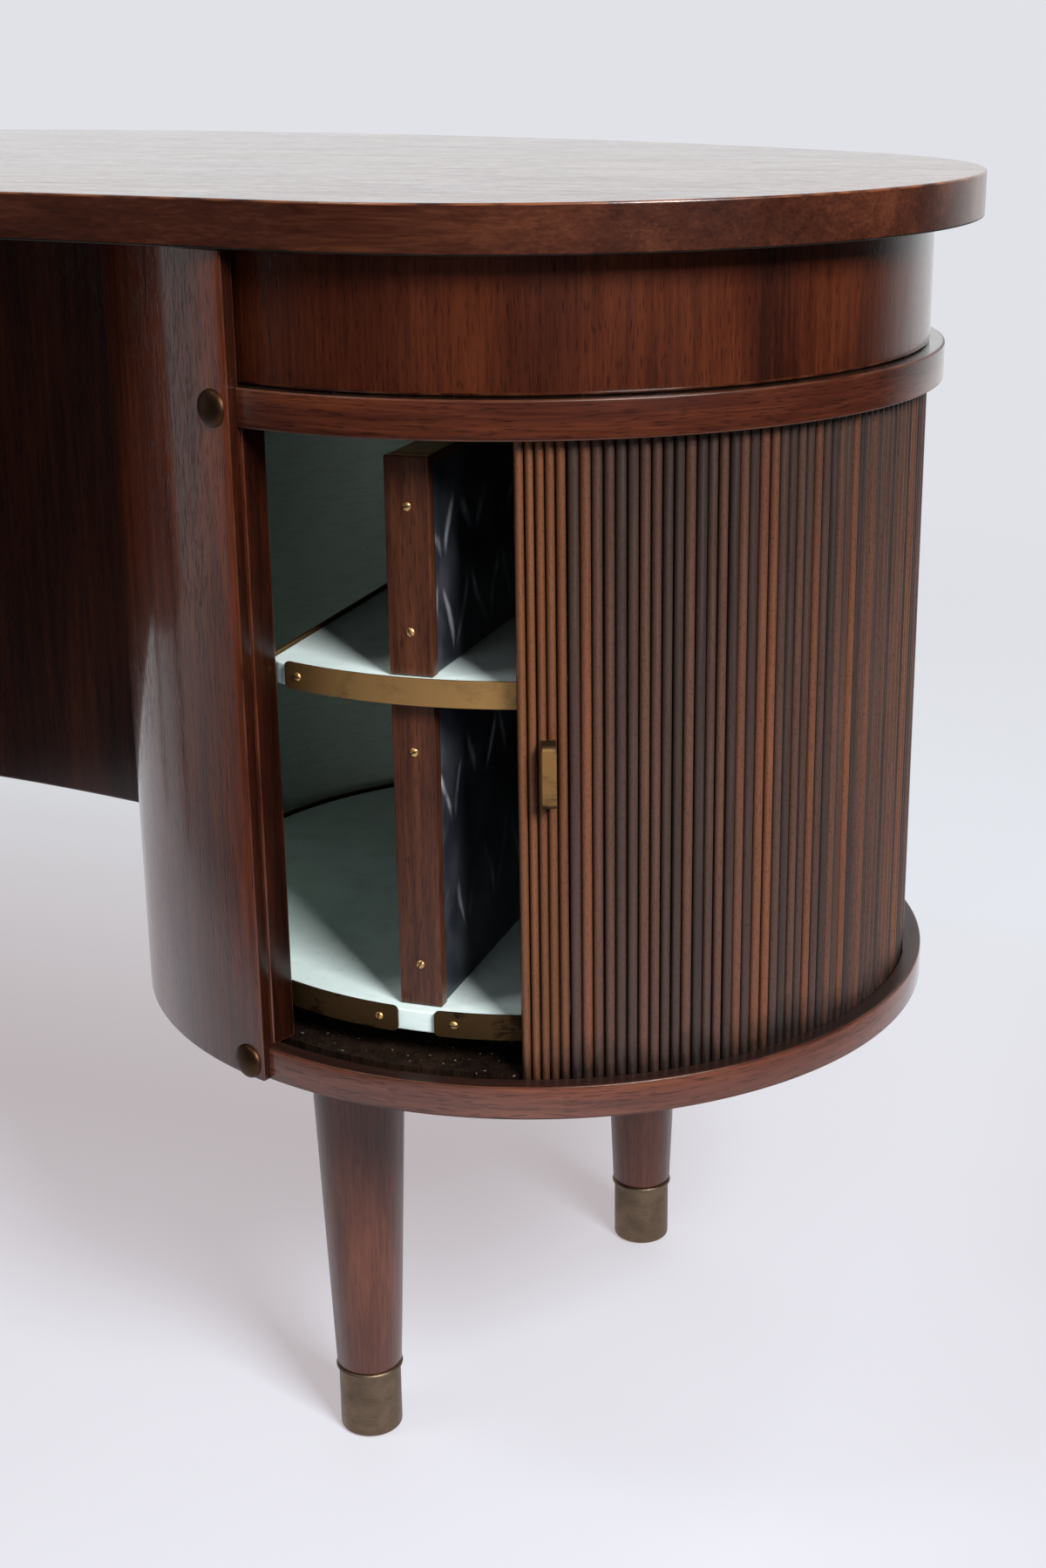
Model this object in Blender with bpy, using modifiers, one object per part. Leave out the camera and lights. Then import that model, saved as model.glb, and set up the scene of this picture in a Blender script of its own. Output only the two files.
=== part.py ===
"""Kidney-shaped writing desk: a bowed top on two drum pedestals, joined by a curved modesty panel.

Each drum has a reeded sliding door on a round track, and behind it a turning carousel.
Metres, +Z up, the sitter's side towards -Y, the origin on the floor under the middle of the top's box.
"""

import math

import bmesh
import bpy

# The top
TOP_LENGTH = 1.800
TOP_DEPTH = 0.703
TOP_THICKNESS = 0.024
TOP_ARRIS = 0.0012
END_RADIUS = 0.2424
WAIST_DEPTH = 0.0634

# Heights of the pedestals, from the floor up
LEG_HEIGHT = 0.274
BASE_THICKNESS = 0.019
OPENING_HEIGHT = 0.340
RING_THICKNESS = 0.020
APRON_HEIGHT = 0.068

# The drums, measured from each drum's axis
DRUM_INSET = 0.0096
DRUM_OVERHANG = 0.0074
RING_SETBACK = 0.0015
APRON_SETBACK = 0.0097
APRON_THICKNESS = 0.010
PANEL_PROUD = 0.0045
PANEL_THICKNESS = 0.0082
LINER_THICKNESS = 0.0022
FRONT_ANGLE = -107.8
BACK_ANGLE = 62.0
APRON_LAP_ANGLE = 20.0
PACKER_INSET_ANGLE = 12.0
JAMB_DEPTH = 0.0164
JAMB_WIDTH = 0.018
TRACK_MARGIN = 0.0010

# The reeded doors
POCKET_GAP = 0.0036
DOOR_THICKNESS = 0.0056
REED_PITCH = 0.0061
REED_DEPTH = 0.0024
LEAD_PITCH = 0.0052
LEAD_REEDS = 5
DOOR_TAIL_ANGLE = 5.0
RIGHT_DOOR_ANGLE = 36.5
GROOVE_DEPTH = 0.006
GROOVE_SIDE_PLAY = 0.0006
HANDLE_HEIGHT = 0.034
HANDLE_WIDTH = 0.0075
HANDLE_REACH = 0.010
HANDLE_THICKNESS = 0.0018
HANDLE_BEND = 0.0016
HANDLE_FROM_EDGE = 0.0165
HANDLE_LEVEL = 0.171

# The carousels
CAROUSEL_CLEARANCE = 0.0098
BEARING_HEIGHT = 0.0155
BEARING_RADIUS = 0.100
BEARING_BORE = 0.040
BEARING_LIP = 0.010
DISC_THICKNESS = 0.012
LOWER_SPACE = 0.1725
SHELF_THICKNESS = 0.012
SHELF_CHORD = 0.085
SHELF_CORNER = 0.012
TOP_CLEARANCE = 0.0137
PARTITION_THICKNESS = 0.022
EDGING_WIDTH = 0.024
EDGING_DEPTH = 0.008
EDGING_SETBACK = 0.0075
STRIP_THICKNESS = 0.0015
STRIP_HEIGHT = 0.0145
STRIP_LIP = 0.002
STRIP_GAP = 0.0105
RIGHT_CAROUSEL_ANGLE = 2.8

# The legs, placed from the drum's axis, with outward X away from the kneehole
FRONT_LEG = (-0.063, -0.133)
BACK_LEG = (0.020, 0.145)
LEG_TOP_RADIUS = 0.027
LEG_FOOT_RADIUS = 0.0192
FERRULE_HEIGHT = 0.0405
FERRULE_RADIUS = 0.01875
FERRULE_WALL = 0.0013
FERRULE_LIP = 0.0016

# The modesty panel
MODESTY_SETBACK = 0.187
MODESTY_RADIUS = 1.400
MODESTY_THICKNESS = 0.018

# Clearances and facets
SEAT = 0.0003
CURVED_SEAT = 0.0006
ARC_STEP = 360.0 / 56
FINE_STEP = 360.0 / 84
WIDE_STEP = 2.2
ROUND_STEPS = 20

# Places that follow from the sizes above
END_X = TOP_LENGTH / 2 - END_RADIUS
BACK_RISE = TOP_DEPTH - 2 * END_RADIUS
BACK_Y = (BACK_RISE**2 - END_X**2) / (2 * BACK_RISE)
BACK_RADIUS = TOP_DEPTH - END_RADIUS - BACK_Y
WAIST_Y = (WAIST_DEPTH**2 - END_X**2) / (2 * WAIST_DEPTH)
WAIST_RADIUS = WAIST_DEPTH - END_RADIUS - WAIST_Y
MIDDLE_Y = TOP_DEPTH / 2 - END_RADIUS
DRUM_RADIUS = END_RADIUS - DRUM_OVERHANG
DRUM_X = END_X - DRUM_INSET
DRUM_Y = -MIDDLE_Y
BASE_TOP = LEG_HEIGHT + BASE_THICKNESS
RING_BOTTOM = BASE_TOP + OPENING_HEIGHT
RING_TOP = RING_BOTTOM + RING_THICKNESS
TOP_BOTTOM = RING_TOP + APRON_HEIGHT
PANEL_OUTER = DRUM_RADIUS + PANEL_PROUD
PANEL_INNER = PANEL_OUTER - PANEL_THICKNESS
CORE_RADIUS = PANEL_INNER - SEAT
LINER_OUTER = PANEL_INNER - CURVED_SEAT
LINER_INNER = LINER_OUTER - LINER_THICKNESS
APRON_OUTER = DRUM_RADIUS - APRON_SETBACK
DOOR_OUTER = LINER_INNER - POCKET_GAP
DOOR_INNER = DOOR_OUTER - DOOR_THICKNESS
DOOR_BOTTOM = BASE_TOP - GROOVE_DEPTH + SEAT
DOOR_TOP = RING_BOTTOM + GROOVE_DEPTH - SEAT
STRIP_OUTER = DOOR_INNER - CAROUSEL_CLEARANCE
STRIP_INNER = STRIP_OUTER - STRIP_THICKNESS
DISC_RADIUS = STRIP_INNER - CURVED_SEAT
DISC_BOTTOM = BASE_TOP + BEARING_HEIGHT
DISC_TOP = DISC_BOTTOM + DISC_THICKNESS
SHELF_BOTTOM = DISC_TOP + LOWER_SPACE
SHELF_TOP = SHELF_BOTTOM + SHELF_THICKNESS
PARTITION_TOP = RING_BOTTOM - TOP_CLEARANCE
EDGING_FACE = DISC_RADIUS - EDGING_SETBACK
HIDDEN_BACK = FRONT_ANGLE + 360


def clear_scene():
    for obj in list(bpy.data.objects):
        bpy.data.objects.remove(obj)


def new_collection(name):
    collection = bpy.data.collections.new(name)
    bpy.context.scene.collection.children.link(collection)
    return collection


def finish(name, colour, roughness, metallic=0.0):
    """A material of one finish, shared by the pieces that have it."""
    material = bpy.data.materials.new(name)
    material.use_nodes = True
    shader = material.node_tree.nodes["Principled BSDF"]
    shader.inputs["Base Color"].default_value = (*colour, 1.0)
    shader.inputs["Roughness"].default_value = roughness
    shader.inputs["Metallic"].default_value = metallic
    return material


clear_scene()
DESK = new_collection("kidney_desk")
CUTTERS = new_collection("cutters")
MAHOGANY = finish("mahogany", (0.115, 0.030, 0.014), 0.28)
DARK_MAHOGANY = finish("dark_mahogany", (0.060, 0.016, 0.009), 0.30)
REED_WOOD = finish("reed_wood", (0.120, 0.052, 0.028), 0.45)
LEAD_WOOD = finish("lead_wood", (0.190, 0.088, 0.040), 0.42)
MINT_PAINT = finish("mint_paint", (0.560, 0.680, 0.640), 0.40)
NAVY_LAMINATE = finish("navy_laminate", (0.012, 0.014, 0.024), 0.35)
AGED_BRASS = finish("aged_brass", (0.340, 0.220, 0.090), 0.38, 1.0)
STEEL = finish("steel", (0.420, 0.420, 0.430), 0.40, 1.0)


def degrees_along(length, radius):
    return math.degrees(length / radius)


def polar(radius, angle):
    return (radius * math.cos(math.radians(angle)), radius * math.sin(math.radians(angle)))


def arc(radius, start, end, step=ARC_STEP, centre=(0.0, 0.0)):
    """Points on a round stretch, both ends included."""
    count = max(1, math.ceil(abs(end - start) / step - 1e-6))
    points = []
    for index in range(count + 1):
        x, y = polar(radius, start + (end - start) * index / count)
        points.append((x + centre[0], y + centre[1]))
    return points


def add(obj, material, parent=None):
    """Puts a finished object in the desk's collection, under its parent."""
    DESK.objects.link(obj)
    obj.data.materials.append(material)
    obj.parent = parent
    return obj


def axis_empty(name, location, turn=0.0, parent=None):
    empty = bpy.data.objects.new(name, None)
    empty.location = location
    empty.rotation_euler.z = math.radians(turn)
    empty.parent = parent
    DESK.objects.link(empty)
    return empty


def flat_curve(name, outline, bottom, top, side=1):
    """A flat outline given its thickness; a side of -1 mirrors it in X."""
    curve = bpy.data.curves.new(name, "CURVE")
    curve.dimensions = "2D"
    curve.fill_mode = "BOTH"
    curve.extrude = (top - bottom) / 2
    spline = curve.splines.new("POLY")
    spline.points.add(len(outline) - 1)
    for point, (x, y) in zip(spline.points, outline):
        point.co = (side * x, y, 0.0, 1.0)
    spline.use_cyclic_u = True
    obj = bpy.data.objects.new(name, curve)
    obj.location.z = (bottom + top) / 2
    return obj


def board(name, outline, bottom, top, material, side=1, parent=None):
    return add(flat_curve(name, outline, bottom, top, side), material, parent)


def sector(inner, outer, start, end, step=ARC_STEP):
    """The outline of a bent bar between two radii and two angles."""
    return arc(outer, start, end, step) + arc(inner, end, start, step)


def block(name, size, centre, material, parent=None):
    """A rectangular piece, from a cube of the right size."""
    mesh = bpy.data.meshes.new(name)
    shape = bmesh.new()
    bmesh.ops.create_cube(shape, size=1.0)
    bmesh.ops.scale(shape, vec=size, verts=shape.verts)
    shape.to_mesh(mesh)
    shape.free()
    obj = bpy.data.objects.new(name, mesh)
    obj.location = centre
    return add(obj, material, parent)


def turned_object(name, profile, steps, closed=False):
    """A turned shape: the profile runs down its outer side, top to bottom, or round it if closed."""
    mesh = bpy.data.meshes.new(name)
    shape = bmesh.new()
    verts = [shape.verts.new((radius, 0.0, height)) for radius, height in profile]
    for first, second in zip(verts, verts[1:]):
        shape.edges.new((first, second))
    if closed:
        shape.edges.new((verts[-1], verts[0]))
    shape.to_mesh(mesh)
    shape.free()
    obj = bpy.data.objects.new(name, mesh)
    screw = obj.modifiers.new("turn", "SCREW")
    screw.steps = steps
    screw.render_steps = steps
    screw.use_merge_vertices = True
    screw.merge_threshold = 0.0001
    screw.use_smooth_shade = True
    return obj


def turned(name, profile, material, parent=None, closed=False):
    return add(turned_object(name, profile, ROUND_STEPS, closed), material, parent)


def as_mesh(curve_object):
    """The curve's solid as a mesh with welded caps, which a Boolean can cut."""
    bpy.context.scene.collection.objects.link(curve_object)
    bpy.context.view_layer.update()
    graph = bpy.context.evaluated_depsgraph_get()
    mesh = bpy.data.meshes.new_from_object(curve_object.evaluated_get(graph))
    shape = bmesh.new()
    shape.from_mesh(mesh)
    bmesh.ops.remove_doubles(shape, verts=shape.verts, dist=0.00001)
    bmesh.ops.recalc_face_normals(shape, faces=shape.faces)
    shape.to_mesh(mesh)
    shape.free()
    obj = bpy.data.objects.new(curve_object.name + "_solid", mesh)
    obj.matrix_world = curve_object.matrix_world
    name = curve_object.name
    bpy.data.objects.remove(curve_object)
    obj.name = name
    return obj


def cut(obj, cutter, parent):
    """Takes the cutter's shape out of the object."""
    CUTTERS.objects.link(cutter)
    cutter.parent = parent
    cutter.hide_render = True
    cutter.display_type = "WIRE"
    modifier = obj.modifiers.new("cut", "BOOLEAN")
    modifier.operation = "DIFFERENCE"
    modifier.solver = "EXACT"
    modifier.object = cutter


def top_outline():
    """Two end arcs, a hollow arc at the sitter's side and a bowed arc at the back, all tangent."""
    waist_turn = math.degrees(math.atan2(-WAIST_Y, END_X))
    back_turn = math.degrees(math.atan2(-BACK_Y, END_X))
    front_quarter = arc(END_RADIUS, waist_turn - 180, 0, FINE_STEP, (END_X, 0.0))
    right_end = front_quarter + arc(END_RADIUS, 0, back_turn, FINE_STEP, (END_X, 0.0))[1:]
    back = arc(BACK_RADIUS, back_turn, 180 - back_turn, FINE_STEP, (0.0, BACK_Y))
    left_end = [(-x, y) for x, y in reversed(right_end)]
    waist = arc(WAIST_RADIUS, 180 - waist_turn, waist_turn, WIDE_STEP, (0.0, WAIST_Y))
    return right_end + back[1:-1] + left_end + waist[1:-1]


def make_top():
    outline = [(x, y - MIDDLE_Y) for x, y in top_outline()]
    top = board("desk_top", outline, TOP_BOTTOM, TOP_BOTTOM + TOP_THICKNESS, MAHOGANY)
    weld = top.modifiers.new("weld", "WELD")
    weld.merge_threshold = 0.00005
    bevel = top.modifiers.new("arris", "BEVEL")
    bevel.width = TOP_ARRIS
    bevel.segments = 1
    bevel.limit_method = "ANGLE"
    bevel.angle_limit = math.radians(60)


def meet_drum(radius, centre_y):
    """The angle where a bowed face about (0, centre_y) meets the right drum's panel, both in plan."""
    reach = PANEL_OUTER + CURVED_SEAT
    offset_y = DRUM_Y - centre_y
    distance = math.hypot(DRUM_X, offset_y)
    share = (radius**2 + distance**2 - reach**2) / (2 * radius * distance)
    return math.degrees(math.atan2(offset_y, DRUM_X) + math.acos(share))


def make_modesty_panel():
    centre_y = DRUM_Y + MODESTY_SETBACK - MODESTY_RADIUS
    outer = MODESTY_RADIUS + MODESTY_THICKNESS
    front = meet_drum(MODESTY_RADIUS, centre_y)
    back = meet_drum(outer, centre_y)
    outline = arc(outer, back, 180 - back, WIDE_STEP, (0.0, centre_y))
    outline += arc(MODESTY_RADIUS, 180 - front, front, WIDE_STEP, (0.0, centre_y))
    board("modesty_panel", outline, LEG_HEIGHT, TOP_BOTTOM - SEAT, DARK_MAHOGANY)


def groove_cutter(name, face):
    """The ring that cuts the door's track into a plate's face."""
    bottom = face - GROOVE_DEPTH
    top = face + GROOVE_DEPTH
    inner = DOOR_INNER - GROOVE_SIDE_PLAY
    outer = DOOR_OUTER + GROOVE_SIDE_PLAY
    profile = [(outer, top), (outer, bottom), (inner, bottom), (inner, top)]
    return turned_object(name, profile, round(360 / ARC_STEP), closed=True)


def plate_outline(radius):
    """The plate's own edge across the door opening, and its core under the side panel."""
    exposed = arc(radius, FRONT_ANGLE, BACK_ANGLE)
    return exposed + arc(CORE_RADIUS, BACK_ANGLE, HIDDEN_BACK)


def make_plates(name, side, drum):
    base_outline = plate_outline(DRUM_RADIUS)
    base = as_mesh(flat_curve(name + "_base_plate", base_outline, LEG_HEIGHT, BASE_TOP, side))
    add(base, MAHOGANY, drum)
    cut(base, groove_cutter(name + "_base_groove", BASE_TOP), drum)
    ring_outline = plate_outline(DRUM_RADIUS - RING_SETBACK)
    ring = as_mesh(flat_curve(name + "_ring_plate", ring_outline, RING_BOTTOM, RING_TOP, side))
    add(ring, MAHOGANY, drum)
    cut(ring, groove_cutter(name + "_ring_groove", RING_BOTTOM), drum)


def make_shell(name, side, drum):
    """The side panel with its lining, the apron above the door, and the posts that the door runs between."""
    end_gap = degrees_along(SEAT, PANEL_INNER)
    panel = sector(PANEL_INNER, PANEL_OUTER, BACK_ANGLE + end_gap, HIDDEN_BACK - end_gap)
    board(name + "_side_panel", panel, LEG_HEIGHT, TOP_BOTTOM - SEAT, MAHOGANY, side, drum)

    apron_inner = APRON_OUTER - APRON_THICKNESS
    apron = sector(apron_inner, APRON_OUTER, FRONT_ANGLE - APRON_LAP_ANGLE, BACK_ANGLE + APRON_LAP_ANGLE)
    board(name + "_apron", apron, RING_TOP + SEAT, TOP_BOTTOM - SEAT, MAHOGANY, side, drum)

    packer_start = BACK_ANGLE + PACKER_INSET_ANGLE
    packer_end = HIDDEN_BACK - PACKER_INSET_ANGLE
    packer = sector(APRON_OUTER + CURVED_SEAT, PANEL_INNER - CURVED_SEAT, packer_start, packer_end)
    board(name + "_panel_packer", packer, RING_TOP + SEAT, TOP_BOTTOM - SEAT, DARK_MAHOGANY, side, drum)

    post_bottom = BASE_TOP + SEAT
    post_top = RING_BOTTOM - SEAT
    post_turn = degrees_along(JAMB_WIDTH, CORE_RADIUS)
    front = sector(CORE_RADIUS - JAMB_DEPTH, CORE_RADIUS, HIDDEN_BACK - post_turn, HIDDEN_BACK)
    board(name + "_front_jamb", front, post_bottom, post_top, MAHOGANY, side, drum)
    rear = sector(DOOR_OUTER + TRACK_MARGIN, CORE_RADIUS, BACK_ANGLE, BACK_ANGLE + post_turn)
    board(name + "_rear_jamb", rear, post_bottom, post_top, MAHOGANY, side, drum)

    lining_start = BACK_ANGLE + post_turn + end_gap
    lining_end = HIDDEN_BACK - post_turn - end_gap
    lining = sector(LINER_INNER, LINER_OUTER, lining_start, lining_end)
    board(name + "_liner", lining, post_bottom, post_top, MINT_PAINT, side, drum)


def reeded_face(start, pitch, count):
    """Half-round reeds side by side on the door's outer face, each a valley, two shoulders and a crest."""
    valley = DOOR_OUTER - REED_DEPTH
    shoulder = DOOR_OUTER - REED_DEPTH * (1 - math.sin(math.radians(60)))
    turn = degrees_along(pitch, DOOR_OUTER)
    points = []
    for reed in range(count):
        edge = start + reed * turn
        points.append(polar(valley, edge))
        points.append(polar(shoulder, edge + turn * 0.25))
        points.append(polar(DOOR_OUTER, edge + turn * 0.5))
        points.append(polar(shoulder, edge + turn * 0.75))
    points.append(polar(valley, start + count * turn))
    return points


def handle_outline():
    """A bow seen from its edge: two feet on the door and a grip held off it by short bends."""
    bend = HANDLE_THICKNESS + HANDLE_BEND
    half = HANDLE_HEIGHT / 2
    centre = (HANDLE_REACH - bend, half - bend)
    upper_outer = [(0.0, half)] + arc(bend, 90, 0, 22.5, centre)
    upper_inner = arc(HANDLE_BEND, 0, 90, 45, centre) + [(0.0, half - HANDLE_THICKNESS)]
    lower_outer = [(x, -y) for x, y in reversed(upper_outer)]
    lower_inner = [(x, -y) for x, y in reversed(upper_inner)]
    return upper_outer + lower_outer + lower_inner + upper_inner


def make_door(name, side, drum, opened):
    """The sliding door in its opened place: a leading board with the handle, then the reeded sheet."""
    axis = axis_empty(name + "_door_axis", (0.0, 0.0, 0.0), side * (FRONT_ANGLE + opened), drum)
    lead_start = degrees_along(CURVED_SEAT, DOOR_OUTER)
    lead_end = lead_start + LEAD_REEDS * degrees_along(LEAD_PITCH, DOOR_OUTER)
    lead = reeded_face(lead_start, LEAD_PITCH, LEAD_REEDS) + arc(DOOR_INNER, lead_end, lead_start)
    board(name + "_door_lead", lead, DOOR_BOTTOM, DOOR_TOP, LEAD_WOOD, side, axis)

    reed_turn = degrees_along(REED_PITCH, DOOR_OUTER)
    sheet_start = lead_end + degrees_along(SEAT, DOOR_INNER)
    covered = BACK_ANGLE - FRONT_ANGLE + DOOR_TAIL_ANGLE
    reeds = round((covered - sheet_start) / reed_turn)
    sheet_end = sheet_start + reeds * reed_turn
    sheet = reeded_face(sheet_start, REED_PITCH, reeds)
    sheet += arc(DOOR_INNER, sheet_end, sheet_start, 2 * reed_turn)
    board(name + "_reeded_door", sheet, DOOR_BOTTOM, DOOR_TOP, REED_WOOD, side, axis)

    handle = flat_curve(name + "_door_handle", handle_outline(), -HANDLE_WIDTH / 2, HANDLE_WIDTH / 2)
    grip_turn = degrees_along(HANDLE_FROM_EDGE, DOOR_OUTER)
    foot_x, foot_y = polar(DOOR_OUTER + SEAT, grip_turn)
    handle.location = (side * foot_x, foot_y, BASE_TOP + HANDLE_LEVEL)
    handle.rotation_euler = (math.radians(90), 0.0, math.radians(grip_turn if side > 0 else 180 - grip_turn))
    add(handle, AGED_BRASS, axis)


def shelf_outline():
    """A disc with one side cut off along a straight edge, its two corners rounded."""
    centre_x = -SHELF_CHORD + SHELF_CORNER
    centre_y = math.sqrt((DISC_RADIUS - SHELF_CORNER) ** 2 - centre_x**2)
    corner_turn = math.degrees(math.atan2(centre_y, centre_x))
    rim = arc(DISC_RADIUS, -corner_turn, corner_turn)
    upper = arc(SHELF_CORNER, corner_turn, 180, 22.5, (centre_x, centre_y))
    lower = [(x, -y) for x, y in reversed(upper)]
    return rim + upper[1:] + lower[:-1], corner_turn


def make_carousel(name, side, drum, turn):
    """The turning tray: a disc on a bearing, and a shelf between two edged partition boards."""
    axis = axis_empty(name + "_carousel_axis", (0.0, 0.0, 0.0), side * turn, drum)
    race_split = BASE_TOP + BEARING_HEIGHT / 2
    lip_top = race_split + BEARING_HEIGHT / 4
    lip_radius = BEARING_BORE + BEARING_LIP
    lower_race = [
        (BEARING_RADIUS, race_split),
        (BEARING_RADIUS, BASE_TOP + SEAT),
        (BEARING_BORE, BASE_TOP + SEAT),
        (BEARING_BORE, lip_top),
        (lip_radius, lip_top),
        (lip_radius, race_split),
    ]
    turned(name + "_bearing_base", lower_race, STEEL, drum, closed=True)
    race_bore = (lip_radius + SEAT) / math.cos(math.pi / ROUND_STEPS)
    upper_race = [
        (BEARING_RADIUS, DISC_BOTTOM - SEAT),
        (BEARING_RADIUS, race_split + SEAT),
        (race_bore, race_split + SEAT),
        (race_bore, DISC_BOTTOM - SEAT),
    ]
    turned(name + "_bearing_race", upper_race, STEEL, axis, closed=True)

    disc = arc(DISC_RADIUS, 0, 360)[:-1]
    board(name + "_carousel_disc", disc, DISC_BOTTOM, DISC_TOP, MINT_PAINT, side, axis)
    outline, corner_turn = shelf_outline()
    board(name + "_carousel_shelf", outline, SHELF_BOTTOM, SHELF_TOP, MINT_PAINT, side, axis)

    levels = {"lower": (DISC_TOP + SEAT, SHELF_BOTTOM - SEAT), "upper": (SHELF_TOP + SEAT, PARTITION_TOP)}
    board_half = EDGING_FACE - EDGING_DEPTH - SEAT
    for level, (bottom, top) in levels.items():
        middle = (bottom + top) / 2
        board_size = (PARTITION_THICKNESS, 2 * board_half, top - bottom)
        block(f"{name}_{level}_partition", board_size, (0.0, 0.0, middle), NAVY_LAMINATE, axis)
        for end, sign in (("front", -1), ("back", 1)):
            centre = (0.0, sign * (EDGING_FACE - EDGING_DEPTH / 2), middle)
            edging_size = (EDGING_WIDTH, EDGING_DEPTH, top - bottom)
            block(f"{name}_{level}_{end}_edging", edging_size, centre, MAHOGANY, axis)

    gap_turn = degrees_along(STRIP_GAP, STRIP_OUTER)
    strip_top = DISC_TOP + STRIP_LIP
    for half, start in (("outer", -90), ("inner", 90)):
        strip = sector(STRIP_INNER, STRIP_OUTER, start + gap_turn, start + 180 - gap_turn)
        board(f"{name}_disc_strip_{half}", strip, strip_top - STRIP_HEIGHT, strip_top, AGED_BRASS, side, axis)
    rail_turn = corner_turn - gap_turn / 2
    rail_top = SHELF_TOP + STRIP_LIP
    rail = sector(STRIP_INNER, STRIP_OUTER, -rail_turn, rail_turn)
    board(name + "_shelf_strip", rail, rail_top - STRIP_HEIGHT, rail_top, AGED_BRASS, side, axis)
    straight = 2 * math.sqrt((DISC_RADIUS - SHELF_CORNER) ** 2 - (SHELF_CHORD - SHELF_CORNER) ** 2)
    straight_x = -side * (SHELF_CHORD + SEAT + STRIP_THICKNESS / 2)
    straight_size = (STRIP_THICKNESS, straight, STRIP_HEIGHT)
    straight_centre = (straight_x, 0.0, rail_top - STRIP_HEIGHT / 2)
    block(name + "_shelf_edge_strip", straight_size, straight_centre, AGED_BRASS, axis)


def make_leg(name, side, drum, place, plan):
    """A tapered leg with a spigot turned on its foot, in a brass cup with a rolled lip."""
    stand = axis_empty(f"{name}_{place}_leg_place", (side * plan[0], plan[1], 0.0), 0.0, drum)
    bore = FERRULE_RADIUS - FERRULE_WALL
    spigot = bore - SEAT
    shoulder = FERRULE_HEIGHT + SEAT
    leg = [
        (0.0, LEG_HEIGHT - SEAT),
        (LEG_TOP_RADIUS, LEG_HEIGHT - SEAT),
        (LEG_FOOT_RADIUS, shoulder),
        (spigot, shoulder),
        (spigot, FERRULE_WALL + SEAT),
        (0.0, FERRULE_WALL + SEAT),
    ]
    turned(f"{name}_{place}_leg", leg, MAHOGANY, stand)
    lip = FERRULE_RADIUS + FERRULE_LIP
    cup = [
        (0.0, FERRULE_WALL),
        (bore, FERRULE_WALL),
        (bore, FERRULE_HEIGHT),
        (FERRULE_RADIUS, FERRULE_HEIGHT),
        (lip, FERRULE_HEIGHT - FERRULE_LIP),
        (FERRULE_RADIUS, FERRULE_HEIGHT - 2 * FERRULE_LIP),
        (FERRULE_RADIUS, FERRULE_WALL),
        (FERRULE_RADIUS - FERRULE_WALL, 0.0),
        (0.0, 0.0),
    ]
    turned(f"{name}_{place}_ferrule", cup, AGED_BRASS, stand)


def make_pedestal(name, side, opened, turn):
    drum = axis_empty(name + "_drum_axis", (side * DRUM_X, DRUM_Y, 0.0))
    make_plates(name, side, drum)
    make_shell(name, side, drum)
    make_door(name, side, drum, opened)
    make_carousel(name, side, drum, turn)
    make_leg(name, side, drum, "front", FRONT_LEG)
    make_leg(name, side, drum, "back", BACK_LEG)


make_top()
make_modesty_panel()
make_pedestal("right", 1, RIGHT_DOOR_ANGLE, RIGHT_CAROUSEL_ANGLE)
make_pedestal("left", -1, 0.0, 0.0)
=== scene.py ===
"""Looks of the kidney-shaped writing desk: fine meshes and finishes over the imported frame, on a pale studio floor."""

import random
from math import acos, atan2, ceil, cos, degrees, hypot, pi, radians, sin, sqrt

import bmesh
import bpy
from mathutils import Matrix, Vector


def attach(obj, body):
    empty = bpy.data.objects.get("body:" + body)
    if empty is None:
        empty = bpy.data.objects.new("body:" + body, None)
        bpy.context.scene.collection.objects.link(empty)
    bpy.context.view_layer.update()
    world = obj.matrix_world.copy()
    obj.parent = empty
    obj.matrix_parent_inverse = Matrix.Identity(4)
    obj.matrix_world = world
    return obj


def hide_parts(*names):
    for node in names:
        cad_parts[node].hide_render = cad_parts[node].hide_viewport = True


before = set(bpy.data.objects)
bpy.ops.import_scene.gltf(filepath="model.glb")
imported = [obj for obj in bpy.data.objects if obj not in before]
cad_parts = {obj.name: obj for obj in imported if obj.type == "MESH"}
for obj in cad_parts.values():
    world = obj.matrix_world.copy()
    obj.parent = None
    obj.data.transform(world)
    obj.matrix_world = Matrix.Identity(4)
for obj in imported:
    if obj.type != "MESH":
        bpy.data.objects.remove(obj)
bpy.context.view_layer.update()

# Sizes of the frame, in metres and degrees
END_X = 0.6576
END_RADIUS = 0.2424
BACK_Y = -0.8818
WAIST_Y = -3.3787
MIDDLE_Y = 0.1091
TOP_BOTTOM = 0.721
TOP_HEIGHT = 0.745
DRUM_X = 0.648
DRUM_Y = -0.1091
FRONT_ANGLE = -107.8
BACK_ANGLE = 62.0
LEG_HEIGHT = 0.274
BASE_TOP = 0.293
RING_BOTTOM = 0.633
RING_TOP = 0.653
BASE_RADIUS = 0.235
RING_RADIUS = 0.2335
CORE_RADIUS = 0.2310
PANEL_INNER = 0.2313
PANEL_OUTER = 0.2395
APRON_OUTER = 0.2253
APRON_INNER = 0.2153
APRON_LAP = 20.0
LINER_INNER = 0.2285
LINER_OUTER = 0.2307
GROOVE_INNER = 0.2187
GROOVE_OUTER = 0.2255
GROOVE_DEPTH = 0.006
DOOR_INNER = 0.2193
DOOR_OUTER = 0.2249
DOOR_BOTTOM = 0.2873
DOOR_TOP = 0.6387
DOOR_TAIL = 5.0
REED_PITCH = 0.0061
REED_RISE = 0.0030
REED_VALLEY = 0.0040
LEAD_GAP = 0.0006
LEAD_PITCH = 0.0052
LEAD_REEDS = 5
JAMB_WIDTH = 0.018
JAMB_INNER = 0.2146
REAR_JAMB_INNER = 0.2259
HANDLE_LEVEL = 0.464
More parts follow.
